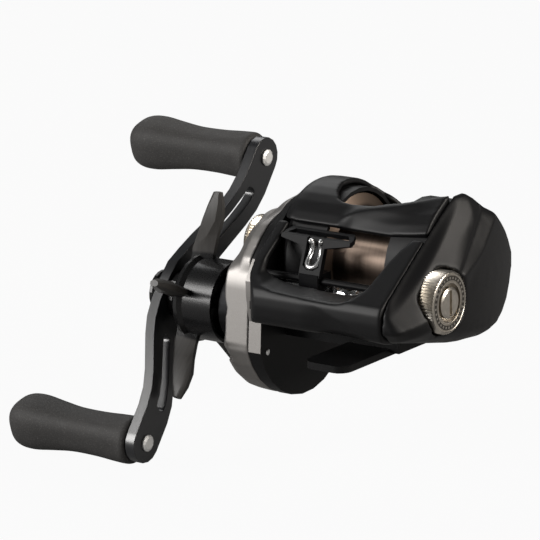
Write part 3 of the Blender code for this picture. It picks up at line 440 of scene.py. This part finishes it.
class REEL_OT_stage(bpy.types.Operator):
    """Sets the floor, the softboxes, the surround and the camera"""
    bl_idname = "reel.stage"
    bl_label = "Stage"

    def execute(self, context):
        scene = context.scene
        size = scene.reel_stage
        scene.view_settings.view_transform = 'Standard'
        bm = bmesh.new()
        bmesh.ops.create_circle(bm, cap_ends=True, segments=96, radius=FLOOR_R)
        bmesh.ops.translate(bm, verts=bm.verts[:], vec=(0, 0, size.floor_drop))
        floor = new_piece("studio_floor", bm, floor_paper(size.floor_tone))
        hang_lamps(scene)
        set_camera(scene, size.lens)
        surround(scene)
        return {'FINISHED'}


def new_piece(name, bm, material, smooth=None):
    """Makes an object at the origin from a bmesh, shaded smooth below an angle in degrees if asked."""
    mesh = bpy.data.meshes.new(name)
    bm.to_mesh(mesh)
    bm.free()
    mesh.materials.append(material)
    if smooth:
        mesh.shade_smooth()
        mesh.set_sharp_from_angle(angle=math.radians(smooth))
    piece = bpy.data.objects.new(name, mesh)
    bpy.context.scene.collection.objects.link(piece)
    return piece


def floor_paper(tone):
    """Pale paper that the camera sees as white, with the reel's shadow left on it."""
    f = Finish("studio_paper", Roughness=0.9, Specular_IOR_Level=0.1)
    f.set("Base Color", tone)
    rays = f.node("ShaderNodeLightPath").socket.node.outputs
    kinds = ("Camera", "Transmission", "Glossy")
    camera, through, gloss = [Value(f, rays["Is %s Ray" % kind]) for kind in kinds]
    glow = f.node("ShaderNodeEmission", None, {"Color": (1.0, 1.0, 1.0, 1.0), "Strength": 1.0})
    paper = Value(f, f.shader.outputs[0])
    share = PAPER_WHITE * (camera + through) + GLOSSY_SHARE * gloss
    mixed = f.node("ShaderNodeMixShader", None, {0: share, 1: paper, 2: glow})
    f.links.new(mixed.socket, f.nodes["Material Output"].inputs["Surface"])
    return f.material


def surround(scene):
    """A dim room that the camera sees as white, and that gloss shows in part."""
    world = bpy.data.worlds.new("studio")
    scene.world = world
    world.use_nodes = True
    nodes, links = world.node_tree.nodes, world.node_tree.links
    nodes.clear()
    ray = nodes.new("ShaderNodeLightPath")
    shine = nodes.new("ShaderNodeMath")
    shine.operation = 'MULTIPLY_ADD'
    shine.inputs[1].default_value = GLOSSY_SHARE
    links.new(ray.outputs["Is Glossy Ray"], shine.inputs[0])
    links.new(ray.outputs["Is Camera Ray"], shine.inputs[2])
    both = nodes.new("ShaderNodeMath")
    both.operation = 'MAXIMUM'
    links.new(shine.outputs[0], both.inputs[0])
    links.new(ray.outputs["Is Transmission Ray"], both.inputs[1])
    shades = []
    for strength in (ROOM, 1.0):
        shade = nodes.new("ShaderNodeBackground")
        shade.inputs["Color"].default_value = (1, 1, 1, 1)
        shade.inputs["Strength"].default_value = strength
        shades.append(shade)
    mix = nodes.new("ShaderNodeMixShader")
    out = nodes.new("ShaderNodeOutputWorld")
    links.new(both.outputs[0], mix.inputs[0])
    links.new(shades[0].outputs[0], mix.inputs[1])
    links.new(shades[1].outputs[0], mix.inputs[2])
    links.new(mix.outputs[0], out.inputs[0])


def ramp(value, low, high):
    """A smooth step from nought at low to one at high."""
    t = min(max((value - low) / (high - low), 0.0), 1.0)
    return t * t * (3 - 2 * t)


def between_points(value, points):
    """Reads a run of (value, result) points by straight lines."""
    for (a, one), (b, two) in zip(points, points[1:]):
        if value <= b:
            return one + (two - one) * max(value - a, 0.0) / (b - a)
    return points[-1][1]


def welded(node):
    """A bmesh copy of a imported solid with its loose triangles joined."""
    bm = bmesh.new()
    bm.from_mesh(NODES[node].data)
    bmesh.ops.remove_doubles(bm, verts=bm.verts[:], dist=WELD)
    return bm


def merged(node):
    """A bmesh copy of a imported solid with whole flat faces."""
    bm = welded(node)
    bmesh.ops.dissolve_limit(bm, angle_limit=math.radians(0.6), verts=bm.verts[:], edges=bm.edges[:],
                             use_dissolve_boundaries=False)
    return bm


def sharp_edges(bm, limit):
    """The edges whose two faces meet at more than limit degrees."""
    return [e for e in bm.edges if len(e.link_faces) == 2 and e.calc_face_angle(0.0) > math.radians(limit)]


def soften(bm, width, limit=32.0, segments=2):
    """Rounds the sharp edges by width millimetres."""
    bmesh.ops.bevel(bm, geom=sharp_edges(bm, limit), offset=width * MM, offset_type='OFFSET',
                    affect='EDGES', segments=segments, profile=0.5, material=-1, clamp_overlap=True)


def worked(blank):
    """A bmesh of an object with its modifiers or bevel worked in; the object itself is taken away."""
    mesh = bpy.data.meshes.new_from_object(blank.evaluated_get(bpy.context.evaluated_depsgraph_get()))
    bpy.data.objects.remove(blank, do_unlink=True)
    bm = bmesh.new()
    bm.from_mesh(mesh)
    bpy.data.meshes.remove(mesh)
    return bm


# How often a moulding is smoothed once more after it was reshaped
EASE_AFTER = 3


def moulded(node, grid, passes, shape):
    """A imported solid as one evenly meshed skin, smoothed and then reshaped as its moulding is."""
    mesh = bpy.data.meshes.new(node + "_blank")
    bm = welded(node)
    bm.to_mesh(mesh)
    bm.free()
    blank = bpy.data.objects.new(mesh.name, mesh)
    bpy.context.scene.collection.objects.link(blank)
    even = blank.modifiers.new("even_grid", 'REMESH')
    even.mode = 'VOXEL'
    even.voxel_size = grid * MM
    ease = blank.modifiers.new("ease", 'SMOOTH')
    ease.factor = 0.5
    ease.iterations = passes
    bm = worked(blank)
    for vert in bm.verts:
        vert.co = shape(vert.co / MM) * MM
    for _ in range(EASE_AFTER):
        bmesh.ops.smooth_vert(bm, verts=bm.verts[:], factor=0.5,
                              use_axis_x=True, use_axis_y=True, use_axis_z=True)
    return bm


def dress(piece, slot, body, *nodes):
    """Hangs a finished piece on its body and lets it stand for its solids."""
    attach(piece, body)
    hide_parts(*nodes)


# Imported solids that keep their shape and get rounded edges: name, finish, slot, body and width in millimetres
EDGED = {
    "frame": ("frame_casting", "casting", "frame_black", "reel_body", 0.35),
    "handle": ("handle_bar", "bar", "frame_black", "crank", 0.55),
    "star_drag": ("star_wheel", "star", "gunmetal", "star", 0.3),
    "line_guide": ("wing_guide", "guide", "satin_black", "guide", 0.18),
    "thumb_bar": ("thumb_rest", "paint", "satin_black", "thumb", 0.5),
    "side_plate_screw": ("coin_screw", "dial", "steel", "plate_screw", 0.15),
}

# The frame's rim below the nose, in millimetres, which runs on from the gear cover's front and carries its
# lacquer: the X of its face, the Y and Z that its front reaches, its nick and lowest point as (Y, Z), its
# lean, and how near a point has to lie to the face and to the nick to belong to them
PLATE_FACE = -27.0
RIM_FRONT = -23.3
RIM_CORNER = -1.9
RIM_NICK = (-23.6, 6.8)
RIM_LOW = (-26.0, -1.66)
RIM_LEAN = 0.066
NEAR_FACE, NEAR_NICK = 0.1, 0.3


def rim_line(z):
    """The Y of the rim's straight front at a height."""
    return RIM_LOW[0] + RIM_LEAN * (z - RIM_LOW[1])


def straighten_rim(bm):
    """Brings the nick in the rim's front out to the line of the gear cover's face."""
    for vert in bm.verts:
        x, y, z = vert.co / MM
        if x < PLATE_FACE + NEAR_FACE and math.dist((y, z), RIM_NICK) < NEAR_NICK:
            vert.co.y = rim_line(z) * MM


def lacquer_rim(piece):
    """Gives the rim's faces the gear cover's lacquer."""
    piece.data.materials.append(FINISHES["gunmetal"])
    for face in piece.data.polygons:
        x, y, z = face.center / MM
        face.material_index = int(x < PLATE_FACE and y < RIM_FRONT and z > RIM_CORNER)


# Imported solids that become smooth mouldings: name, finish, slot, grid in millimetres and passes
MOULDED = {
    "front_cover": ("front_cover_shell", "paint", "satin_black", 0.36, 14),
    "top_hood": ("top_hood_shell", "paint", "satin_black", 0.36, 14),
    "palm_side_plate": ("palm_plate_shell", "paint", "satin_black", 0.4, 16),
    "gear_cover": ("gear_cover_shell", "gunmetal", "gunmetal", 0.42, 10),
}


class REEL_OT_works(bpy.types.Operator):
    """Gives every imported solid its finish, and the castings and mouldings their rounded edges"""
    bl_idname = "reel.works"
    bl_label = "Solids"

    def execute(self, context):
        for finish, names in SOLIDS.items():
            for name in names:
                slots = NODES[name].data.materials
                slots.clear()
                slots.append(FINISHES[finish])
        for node, (name, finish, slot, body, width) in EDGED.items():
            bm = merged(node)
            if node == "frame":
                straighten_rim(bm)
            soften(bm, width)
            piece = new_piece(name, bm, FINISHES[finish], smooth=40)
            if node == "frame":
                lacquer_rim(piece)
            even = piece.modifiers.new("even_shading", 'WEIGHTED_NORMAL')
            even.keep_sharp = True
            dress(piece, slot, body, node)
        for node, (name, finish, slot, grid, passes) in MOULDED.items():
            piece = new_piece(name, moulded(node, grid, passes, SHAPES[node]), FINISHES[finish], smooth=70)
            dress(piece, slot, "reel_body", node)
        return {'FINISHED'}


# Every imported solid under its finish
SOLIDS = {
    "paint": ["front_cover", "top_hood", "palm_side_plate", "thumb_bar"],
    "guide": ["line_guide", "guide_bar"],
    "casting": ["frame"],
    "gunmetal": ["gear_cover"],
    "bar": ["handle"],
    "star": ["star_drag", "handle_collar", "nut_cap"],
    "foam": ["knob_front", "knob_rear"],
    "carbon": ["drag_washer_1", "drag_washer_2"],
    "resin": ["yoke", "level_wind_drive_gear", "level_wind_idler", "worm_gear", "magnet_holder"],
    "spool": ["spool"],
    "dial": ["brake_dial", "side_plate_screw"],
    "cap": ["cast_control_cap"],
    "steel": ["gear_cover_screw_1", "gear_cover_screw_2", "gear_cover_screw_3", "spool_bearing_palm",
              "spool_bearing_handle", "pinion_bearing", "drive_shaft_bearing", "inductor_rotor", "clutch_cam",
              "key_washer", "pressure_plate", "ratchet", "spring_washer", "yoke_spring_1", "yoke_spring_2",
              "worm_shaft", "pawl_cap"],
    "satin": ["knob_shaft_front", "knob_shaft_rear"],
    "shaft_steel": ["drive_shaft", "spool_shaft", "one_way_clutch", "handle_nut", "nut_cap_screw"],
    "brass": ["drive_gear", "pinion_gear", "cast_control_shim", "level_wind_pawl"],
    "chrome": ["guide_insert"],
}


def curve_through(points, per=5):
    """A smooth run of points through the given ones; a point given twice in a row stays a corner."""
    out = []
    for i in range(len(points) - 1):
        b, c = Vector(points[i]), Vector(points[i + 1])
        if (c - b).length < 1e-6:
            continue
        a = Vector(points[i - 1]) if i else 2 * b - c
        d = Vector(points[i + 2]) if i + 2 < len(points) else 2 * c - b
        for k in range(per):
            t = k / per
            out.append(0.5 * (2 * b + (c - a) * t + (2 * a - 5 * b + 4 * c - d) * t * t
                              + (3 * b - a - 3 * c + d) * t ** 3))
    return out + [Vector(points[-1])]


def turned(profile, centre, steps=72):
    """Spins a profile of (radius, x) points, in millimetres, about the X line through centre."""
    bm = bmesh.new()
    y, z = centre
    verts = [bm.verts.new(Vector((x, y + r, z)) * MM) for r, x in profile]
    edges = [bm.edges.new(pair) for pair in zip(verts, verts[1:])]
    bmesh.ops.spin(bm, geom=verts + edges, axis=(1, 0, 0), cent=Vector((0, y, z)) * MM, dvec=(0, 0, 0),
                   angle=2 * math.pi, steps=steps, use_merge=True, use_duplicate=False)
    bmesh.ops.remove_doubles(bm, verts=bm.verts[:], dist=WELD)
    bmesh.ops.recalc_face_normals(bm, faces=bm.faces[:])
    return bm


# The foam knobs: the (Y, Z) of each axis, and the profile as (radius, X), in millimetres
KNOBS = {"front": (-33.896, -29.965), "rear": (24.196, 38.777)}
KNOB = [(0.0, -63.9), (2.0, -63.9), (2.0, -63.9), (5.4, -63.8), (6.4, -64.4), (6.72, -66.0), (6.6, -70.0),
        (6.28, -76.0), (6.32, -84.0), (7.1, -91.0), (7.85, -97.0), (7.55, -101.4), (6.0, -104.1),
        (3.2, -104.75), (0.0, -104.8)]

# The knobs' section is a soft square: where one of its corners points round X, how square it is, and the
# stretch beside the handle, along -X, over which it comes in
KNOB_CORNER = math.radians(150.0)
KNOB_POWER = 2.8
KNOB_COLLAR = (63.9, 68.0)


def squared(bm, centre):
    """Draws a turned knob in between four corners, less so beside the handle."""
    def size(angle):
        return (abs(math.cos(angle)) ** KNOB_POWER + abs(math.sin(angle)) ** KNOB_POWER) ** (1 / KNOB_POWER)

    for vert in bm.verts:
        x, y, z = vert.co / MM
        y, z = y - centre[0], z - centre[1]
        angle = math.atan2(z, y) - KNOB_CORNER + math.pi / 4
        share = 1 + ramp(-x, *KNOB_COLLAR) * (size(math.pi / 4) / size(angle) - 1)
        vert.co = Vector((x, centre[0] + share * y, centre[1] + share * z)) * MM
    return bm


class REEL_OT_knobs(bpy.types.Operator):
    """Makes the two foam knobs"""
    bl_idname = "reel.knobs"
    bl_label = "Knobs"

    def execute(self, context):
        for side, at in KNOBS.items():
            bm = squared(turned(curve_through(KNOB), at), at)
            piece = new_piece("foam_knob_" + side, bm, FINISHES["foam"], smooth=60)
            dress(piece, "foam", side + "_knob", "knob_" + side)
        return {'FINISHED'}


# The fold along the hood's bridge: X in millimetres, and where it lies round the spool's axis in degrees
HOOD_FOLD = [(-8.0, 142.0), (-7.0, 137.5), (-4.0, 132.0), (0.0, 127.5), (8.0, 119.5), (13.0, 112.0),
             (20.0, 103.0)]
# Where the front face would be drawn in in full, in degrees, where the outer skin starts from the axis, and
# where along X the bridge comes in
HOOD_EDGE = 148.0
HOOD_SKIN = (19.4, 20.2)
HOOD_BRIDGE = (-9.5, -4.0)
# The ridge along the fold and the valley behind it: height in millimetres and spread in degrees
RIDGE, RIDGE_SPREAD = 0.55, 7.0
VALLEY, VALLEY_SPREAD = 0.35, 9.0
VALLEY_BEHIND = 16.0
VALLEY_STARTS = (-12.0, -2.0)
HOOD_DRAWN = 1.15


def hood_form(p):
    """Folds the hood's bridge along its crease and draws its front face in below it."""
    y, z = p.y - SPOOL[0], p.z - SPOOL[1]
    reach = math.hypot(y, z)
    angle = math.degrees(math.atan2(z, y))
    fold = between_points(p.x, HOOD_FOLD)
    skin = ramp(reach, *HOOD_SKIN)
    below = max(angle - fold, 0.0) / (HOOD_EDGE - fold)
    ridge = math.exp(-((angle - fold) / RIDGE_SPREAD) ** 2) * skin
    valley = math.exp(-((angle - fold + VALLEY_BEHIND) / VALLEY_SPREAD) ** 2) * skin
    grown = reach + ramp(p.x, *HOOD_BRIDGE) * (RIDGE * ridge - HOOD_DRAWN * below)
    grown -= VALLEY * valley * ramp(p.x, *VALLEY_STARTS)
    return Vector((p.x, SPOOL[0] + y * grown / reach, SPOOL[1] + z * grown / reach))


# The nose's slanting fold: a point of it as (X, Z) and its fall along X; below it the face turns under by a
# share of the depth, up to a limit, where X and -Y come past these stretches
NOSE_FOLD = (-4.0, 19.5)
NOSE_FALL = 0.42
NOSE_UNDER, NOSE_LIMIT = 0.30, 2.4
NOSE_RIGHT = (-6.0, 6.0)
NOSE_FRONT = (26.0, 33.0)


def cover_form(p):
    """Turns the nose's lower right face under, below a slanting fold."""
    fold = NOSE_FOLD[1] - NOSE_FALL * (p.x - NOSE_FOLD[0])
    under = max(fold - p.z, 0.0) * ramp(p.x, *NOSE_RIGHT) * ramp(-p.y, *NOSE_FRONT)
    return Vector((p.x, p.y + min(NOSE_UNDER * under, NOSE_LIMIT), p.z))


# The palm plate's facet: the slope of its edge along the seam, that edge's front end as (Y, Z), how steeply
# the facet rises along X, how high it comes, and where the plate's outer skin starts along X
PALM_SLOPE = math.radians(35.18)
PALM_LOW = (-36.85, 19.99)
PALM_RISE, PALM_SIDE = 0.86, 8.6
PALM_SKIN = (20.6, 22.4)
# The facet's crown: its height, its middle and half length along the edge, and its two borders across it
CROWN = 1.5
CROWN_MIDDLE, CROWN_HALF = 21.0, 22.0
CROWN_STARTS, CROWN_ENDS = (-1.0, 2.0), (7.0, 16.0)
# How much less steep the facet gets, over this stretch along the edge
PALM_EASE = 0.26
PALM_EASED = (14.0, 36.0)


def palm_form(p):
    """Crowns the palm plate's sloping facet along its length and broadens it towards its top."""
    y, z = p.y - PALM_LOW[0], p.z - PALM_LOW[1]
    along = y * math.cos(PALM_SLOPE) + z * math.sin(PALM_SLOPE)
    inside = y * math.sin(PALM_SLOPE) - z * math.cos(PALM_SLOPE)
    crown = CROWN * max(1.0 - ((along - CROWN_MIDDLE) / CROWN_HALF) ** 2, 0.0)
    crown *= ramp(inside, *CROWN_STARTS) * (1.0 - ramp(inside, *CROWN_ENDS))
    flatter = PALM_RISE - PALM_EASE * ramp(along, *PALM_EASED)
    drop = max(min(PALM_RISE * inside, PALM_SIDE) - flatter * inside, 0.0)
    return Vector((p.x + ramp(p.x, *PALM_SKIN) * (crown - drop), p.y, p.z))


# The gear cover's packed front as (Z, Y), the share of it that is left along -X, and the cover's wall
GEAR_FRONT = [(-1.66, -26.0), (6.8, -23.6), (13.8, -26.6), (18.2, -26.7), (23.6, -23.3)]
GEAR_TAPER = [(34.8, 0.98), (38.0, 0.82), (40.4, 0.67)]
GEAR_WALL = 0.9
# The heights over which it narrows, and the height above which the even face leans back, and how much
GEAR_NARROWS = (6.0, 22.0)
LEAN_FROM, LEAN_BACK = 15.0, 0.04
# The stretches along -X, -Y and Z over which the even face comes in and goes out
FACE_INNER, FACE_OUTER = (30.5, 30.9), (38.6, 41.4)
FACE_DEPTH = (13.0, 19.0)
FACE_FOOT, FACE_TOP = (-1.6, 0.0), (19.0, 24.0)


def gear_form(p):
    """Brings the gear cover's front to one even face, nearly upright and as wide as the cover."""
    share = 1.0 - ramp(p.z, *GEAR_NARROWS) * (1.0 - between_points(-p.x, GEAR_TAPER))
    packed = share * between_points(p.z, GEAR_FRONT)
    face = rim_line(p.z) + LEAN_BACK * max(p.z - LEAN_FROM, 0.0) ** 2
    part = ramp(-p.x, *FACE_INNER) * (1.0 - ramp(-p.x, *FACE_OUTER)) * ramp(-p.y, *FACE_DEPTH)
    part *= ramp(p.z, *FACE_FOOT) * (1.0 - ramp(p.z, *FACE_TOP))
    outer = p.y < packed + GEAR_WALL
    return Vector((p.x, p.y + part * (face - (p.y if outer else packed)), p.z))


# What reshapes each moulding
SHAPES = {
    "top_hood": hood_form,
    "front_cover": cover_form,
    "palm_side_plate": palm_form,
    "gear_cover": gear_form,
}


def knurled(profile, centre, ridges, rim, depth):
    """A turned piece whose rim, beyond a radius, carries fine ridges along X."""
    bm = turned(profile, centre, 2 * ridges)
    for vert in bm.verts:
        y, z = vert.co.y / MM - centre[0], vert.co.z / MM - centre[1]
        reach = math.hypot(y, z)
        if reach > rim and round(math.atan2(z, y) * ridges / math.pi) % 2:
            vert.co.y = (centre[0] + y * (reach - depth) / reach) * MM
            vert.co.z = (centre[1] + z * (reach - depth) / reach) * MM
    return bm


# Profiles of the turned pieces as (radius, X) in millimetres
DIAL_PROFILE = [(1.7, 23.5), (7.9, 23.5), (8.4, 23.9), (8.4, 28.25), (8.2, 28.6), (7.75, 28.75),
                (7.6, 28.62), (7.35, 28.62), (7.2, 28.8), (5.9, 28.8), (5.8, 28.6), (5.6, 28.6),
                (5.5, 28.75), (5.2, 28.75), (5.15, 28.2), (5.15, 27.0), (1.7, 27.0), (1.7, 23.5)]
CAP_PROFILE = [(0.0, -46.3), (5.6, -46.3), (6.5, -46.2), (7.0, -45.8), (7.2, -45.4), (7.2, -43.0),
               (7.0, -42.6), (6.7, -42.5), (5.5, -42.5), (5.5, -45.4), (0.0, -45.4)]
SPOOL_PROFILE = [(12.3, 9.8), (16.5, 9.8), (16.85, 9.72), (17.0, 9.5), (16.95, 9.2), (16.6, 9.02),
                 (14.1, 8.45), (13.65, 8.2), (13.5, 7.8), (13.5, -11.4), (13.65, -11.8), (14.1, -12.05),
                 (16.6, -12.62), (16.95, -12.8), (17.0, -13.1), (16.85, -13.32), (16.5, -13.4),
                 (1.95, -13.4), (1.95, -2.0), (3.3, -2.0), (3.3, -11.6), (12.3, -11.6), (12.3, 9.8)]
RIVET_PROFILE = [(0.0, -26.7), (0.55, -26.72), (0.85, -26.85), (0.9, -27.1), (0.0, -27.1)]
RIVET_AT = (-22.69, -1.87)

# Knurls: how many ridges, the radius beyond which they lie and their depth in millimetres
DIAL_KNURL = (64, 8.0, 0.42)
CAP_KNURL = (52, 6.9, 0.4)


class REEL_OT_turnings(bpy.types.Operator):
    """Turns the brake dial, the cast control cap, the spool and the rivet of the gear side"""
    bl_idname = "reel.turnings"
    bl_label = "Turned pieces"

    def execute(self, context):
        bm = knurled(DIAL_PROFILE, DIAL, *DIAL_KNURL)
        dial = new_piece("brake_dial_knurled", bm, FINISHES["dial"], smooth=35)
        dress(dial, "champagne_silver", "dial", "brake_dial")
        bm = knurled(CAP_PROFILE, SPOOL, *CAP_KNURL)
        cap = new_piece("cast_cap_knurled", bm, FINISHES["cap"], smooth=35)
        dress(cap, "champagne_silver", "cast_cap", "cast_control_cap")
        bm = turned(SPOOL_PROFILE, SPOOL, steps=128)
        spool = new_piece("spool_turned", bm, FINISHES["spool"], smooth=35)
        dress(spool, "dark_bronze", "spool_set", "spool")
        bm = turned(RIVET_PROFILE, RIVET_AT, steps=32)
        rivet = new_piece("gear_side_rivet", bm, FINISHES["steel"], smooth=35)
        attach(rivet, "reel_body")
        return {'FINISHED'}


# The wire insert of the line guide, in millimetres: the foot and lean of its plate, how far it stands out,
# its radius, its path as (half spacing, height, bow), and the share of the radius left towards its ends
GUIDE_FOOT = Vector((-11.6, -24.3, 21.3))
GUIDE_LEAN = math.radians(20.2)
WIRE_OUT = 0.5
WIRE_R = 0.8
WIRE = [(1.85, 10.15, 0.0), (1.62, 9.6, 0.3), (1.42, 8.8, 0.9), (1.45, 7.7, 1.4), (1.62, 6.2, 1.4),
        (1.8, 4.6, 0.9), (1.55, 3.5, 0.45), (1.0, 2.8, 0.15), (0.0, 2.5, 0.0)]
WIRE_ENDS = (0.35, 0.75, 0.95)


class REEL_OT_guide_wire(bpy.types.Operator):
    """Bends the bright wire in the line guide's throat"""
    bl_idname = "reel.guide_wire"
    bl_label = "Guide wire"

    def execute(self, context):
        up = Vector((0, math.sin(GUIDE_LEAN), math.cos(GUIDE_LEAN)))
        out = Vector((0, -math.cos(GUIDE_LEAN), math.sin(GUIDE_LEAN)))
        path = curve_through(WIRE + [(-a, b, c) for a, b, c in WIRE[-2::-1]])
        curve = bpy.data.curves.new("guide_wire_path", 'CURVE')
        curve.dimensions = '3D'
        curve.bevel_depth = WIRE_R * MM
        curve.bevel_resolution = 4
        curve.use_fill_caps = True
        spline = curve.splines.new('POLY')
        spline.points.add(len(path) - 1)
        for i, (point, (a, b, c)) in enumerate(zip(spline.points, path)):
            at = GUIDE_FOOT + Vector((a, 0, 0)) + up * b + out * (WIRE_OUT - c)
            point.co = (*(at * MM), 1)
            edge = min(i, len(path) - 1 - i)
            point.radius = WIRE_ENDS[edge] if edge < len(WIRE_ENDS) else 1.0
        bent = bpy.data.objects.new(curve.name, curve)
        context.scene.collection.objects.link(bent)
        bm = worked(bent)
        bmesh.ops.remove_doubles(bm, verts=bm.verts[:], dist=WELD)
        bmesh.ops.recalc_face_normals(bm, faces=bm.faces[:])
        piece = new_piece("guide_wire", bm, FINISHES["chrome"], smooth=50)
        dress(piece, "chrome", "guide", "guide_insert")
        return {'FINISHED'}


class REEL_PT_panel(bpy.types.Panel):
    """Lists the reel's pieces and settings"""
    bl_idname = "REEL_PT_panel"
    bl_label = "Baitcasting Reel"
    bl_space_type = 'VIEW_3D'
    bl_region_type = 'UI'
    bl_category = "Reel"

    def draw(self, context):
        for step in STEPS:
            self.layout.operator(step.bl_idname)
        for name in ReelStageSettings.__annotations__:
            self.layout.prop(context.scene.reel_stage, name)


STEPS = (REEL_OT_stage, REEL_OT_works, REEL_OT_knobs, REEL_OT_turnings, REEL_OT_guide_wire)
CLASSES = (ReelStageSettings, *STEPS, REEL_PT_panel)


def register():
    """Makes the settings, the operators and the panel known to Blender."""
    for cls in CLASSES:
        bpy.utils.register_class(cls)
    bpy.types.Scene.reel_stage = PointerProperty(type=ReelStageSettings)


def unregister():
    """Takes them away again."""
    del bpy.types.Scene.reel_stage
    for cls in reversed(CLASSES):
        bpy.utils.unregister_class(cls)


def main():
    """Builds the reel's finished pieces and its stage."""
    register()
    make_finishes()
    for step in STEPS:
        group, action = step.bl_idname.split(".")
        getattr(getattr(bpy.ops, group), action)()


if __name__ == "__main__":
    main()
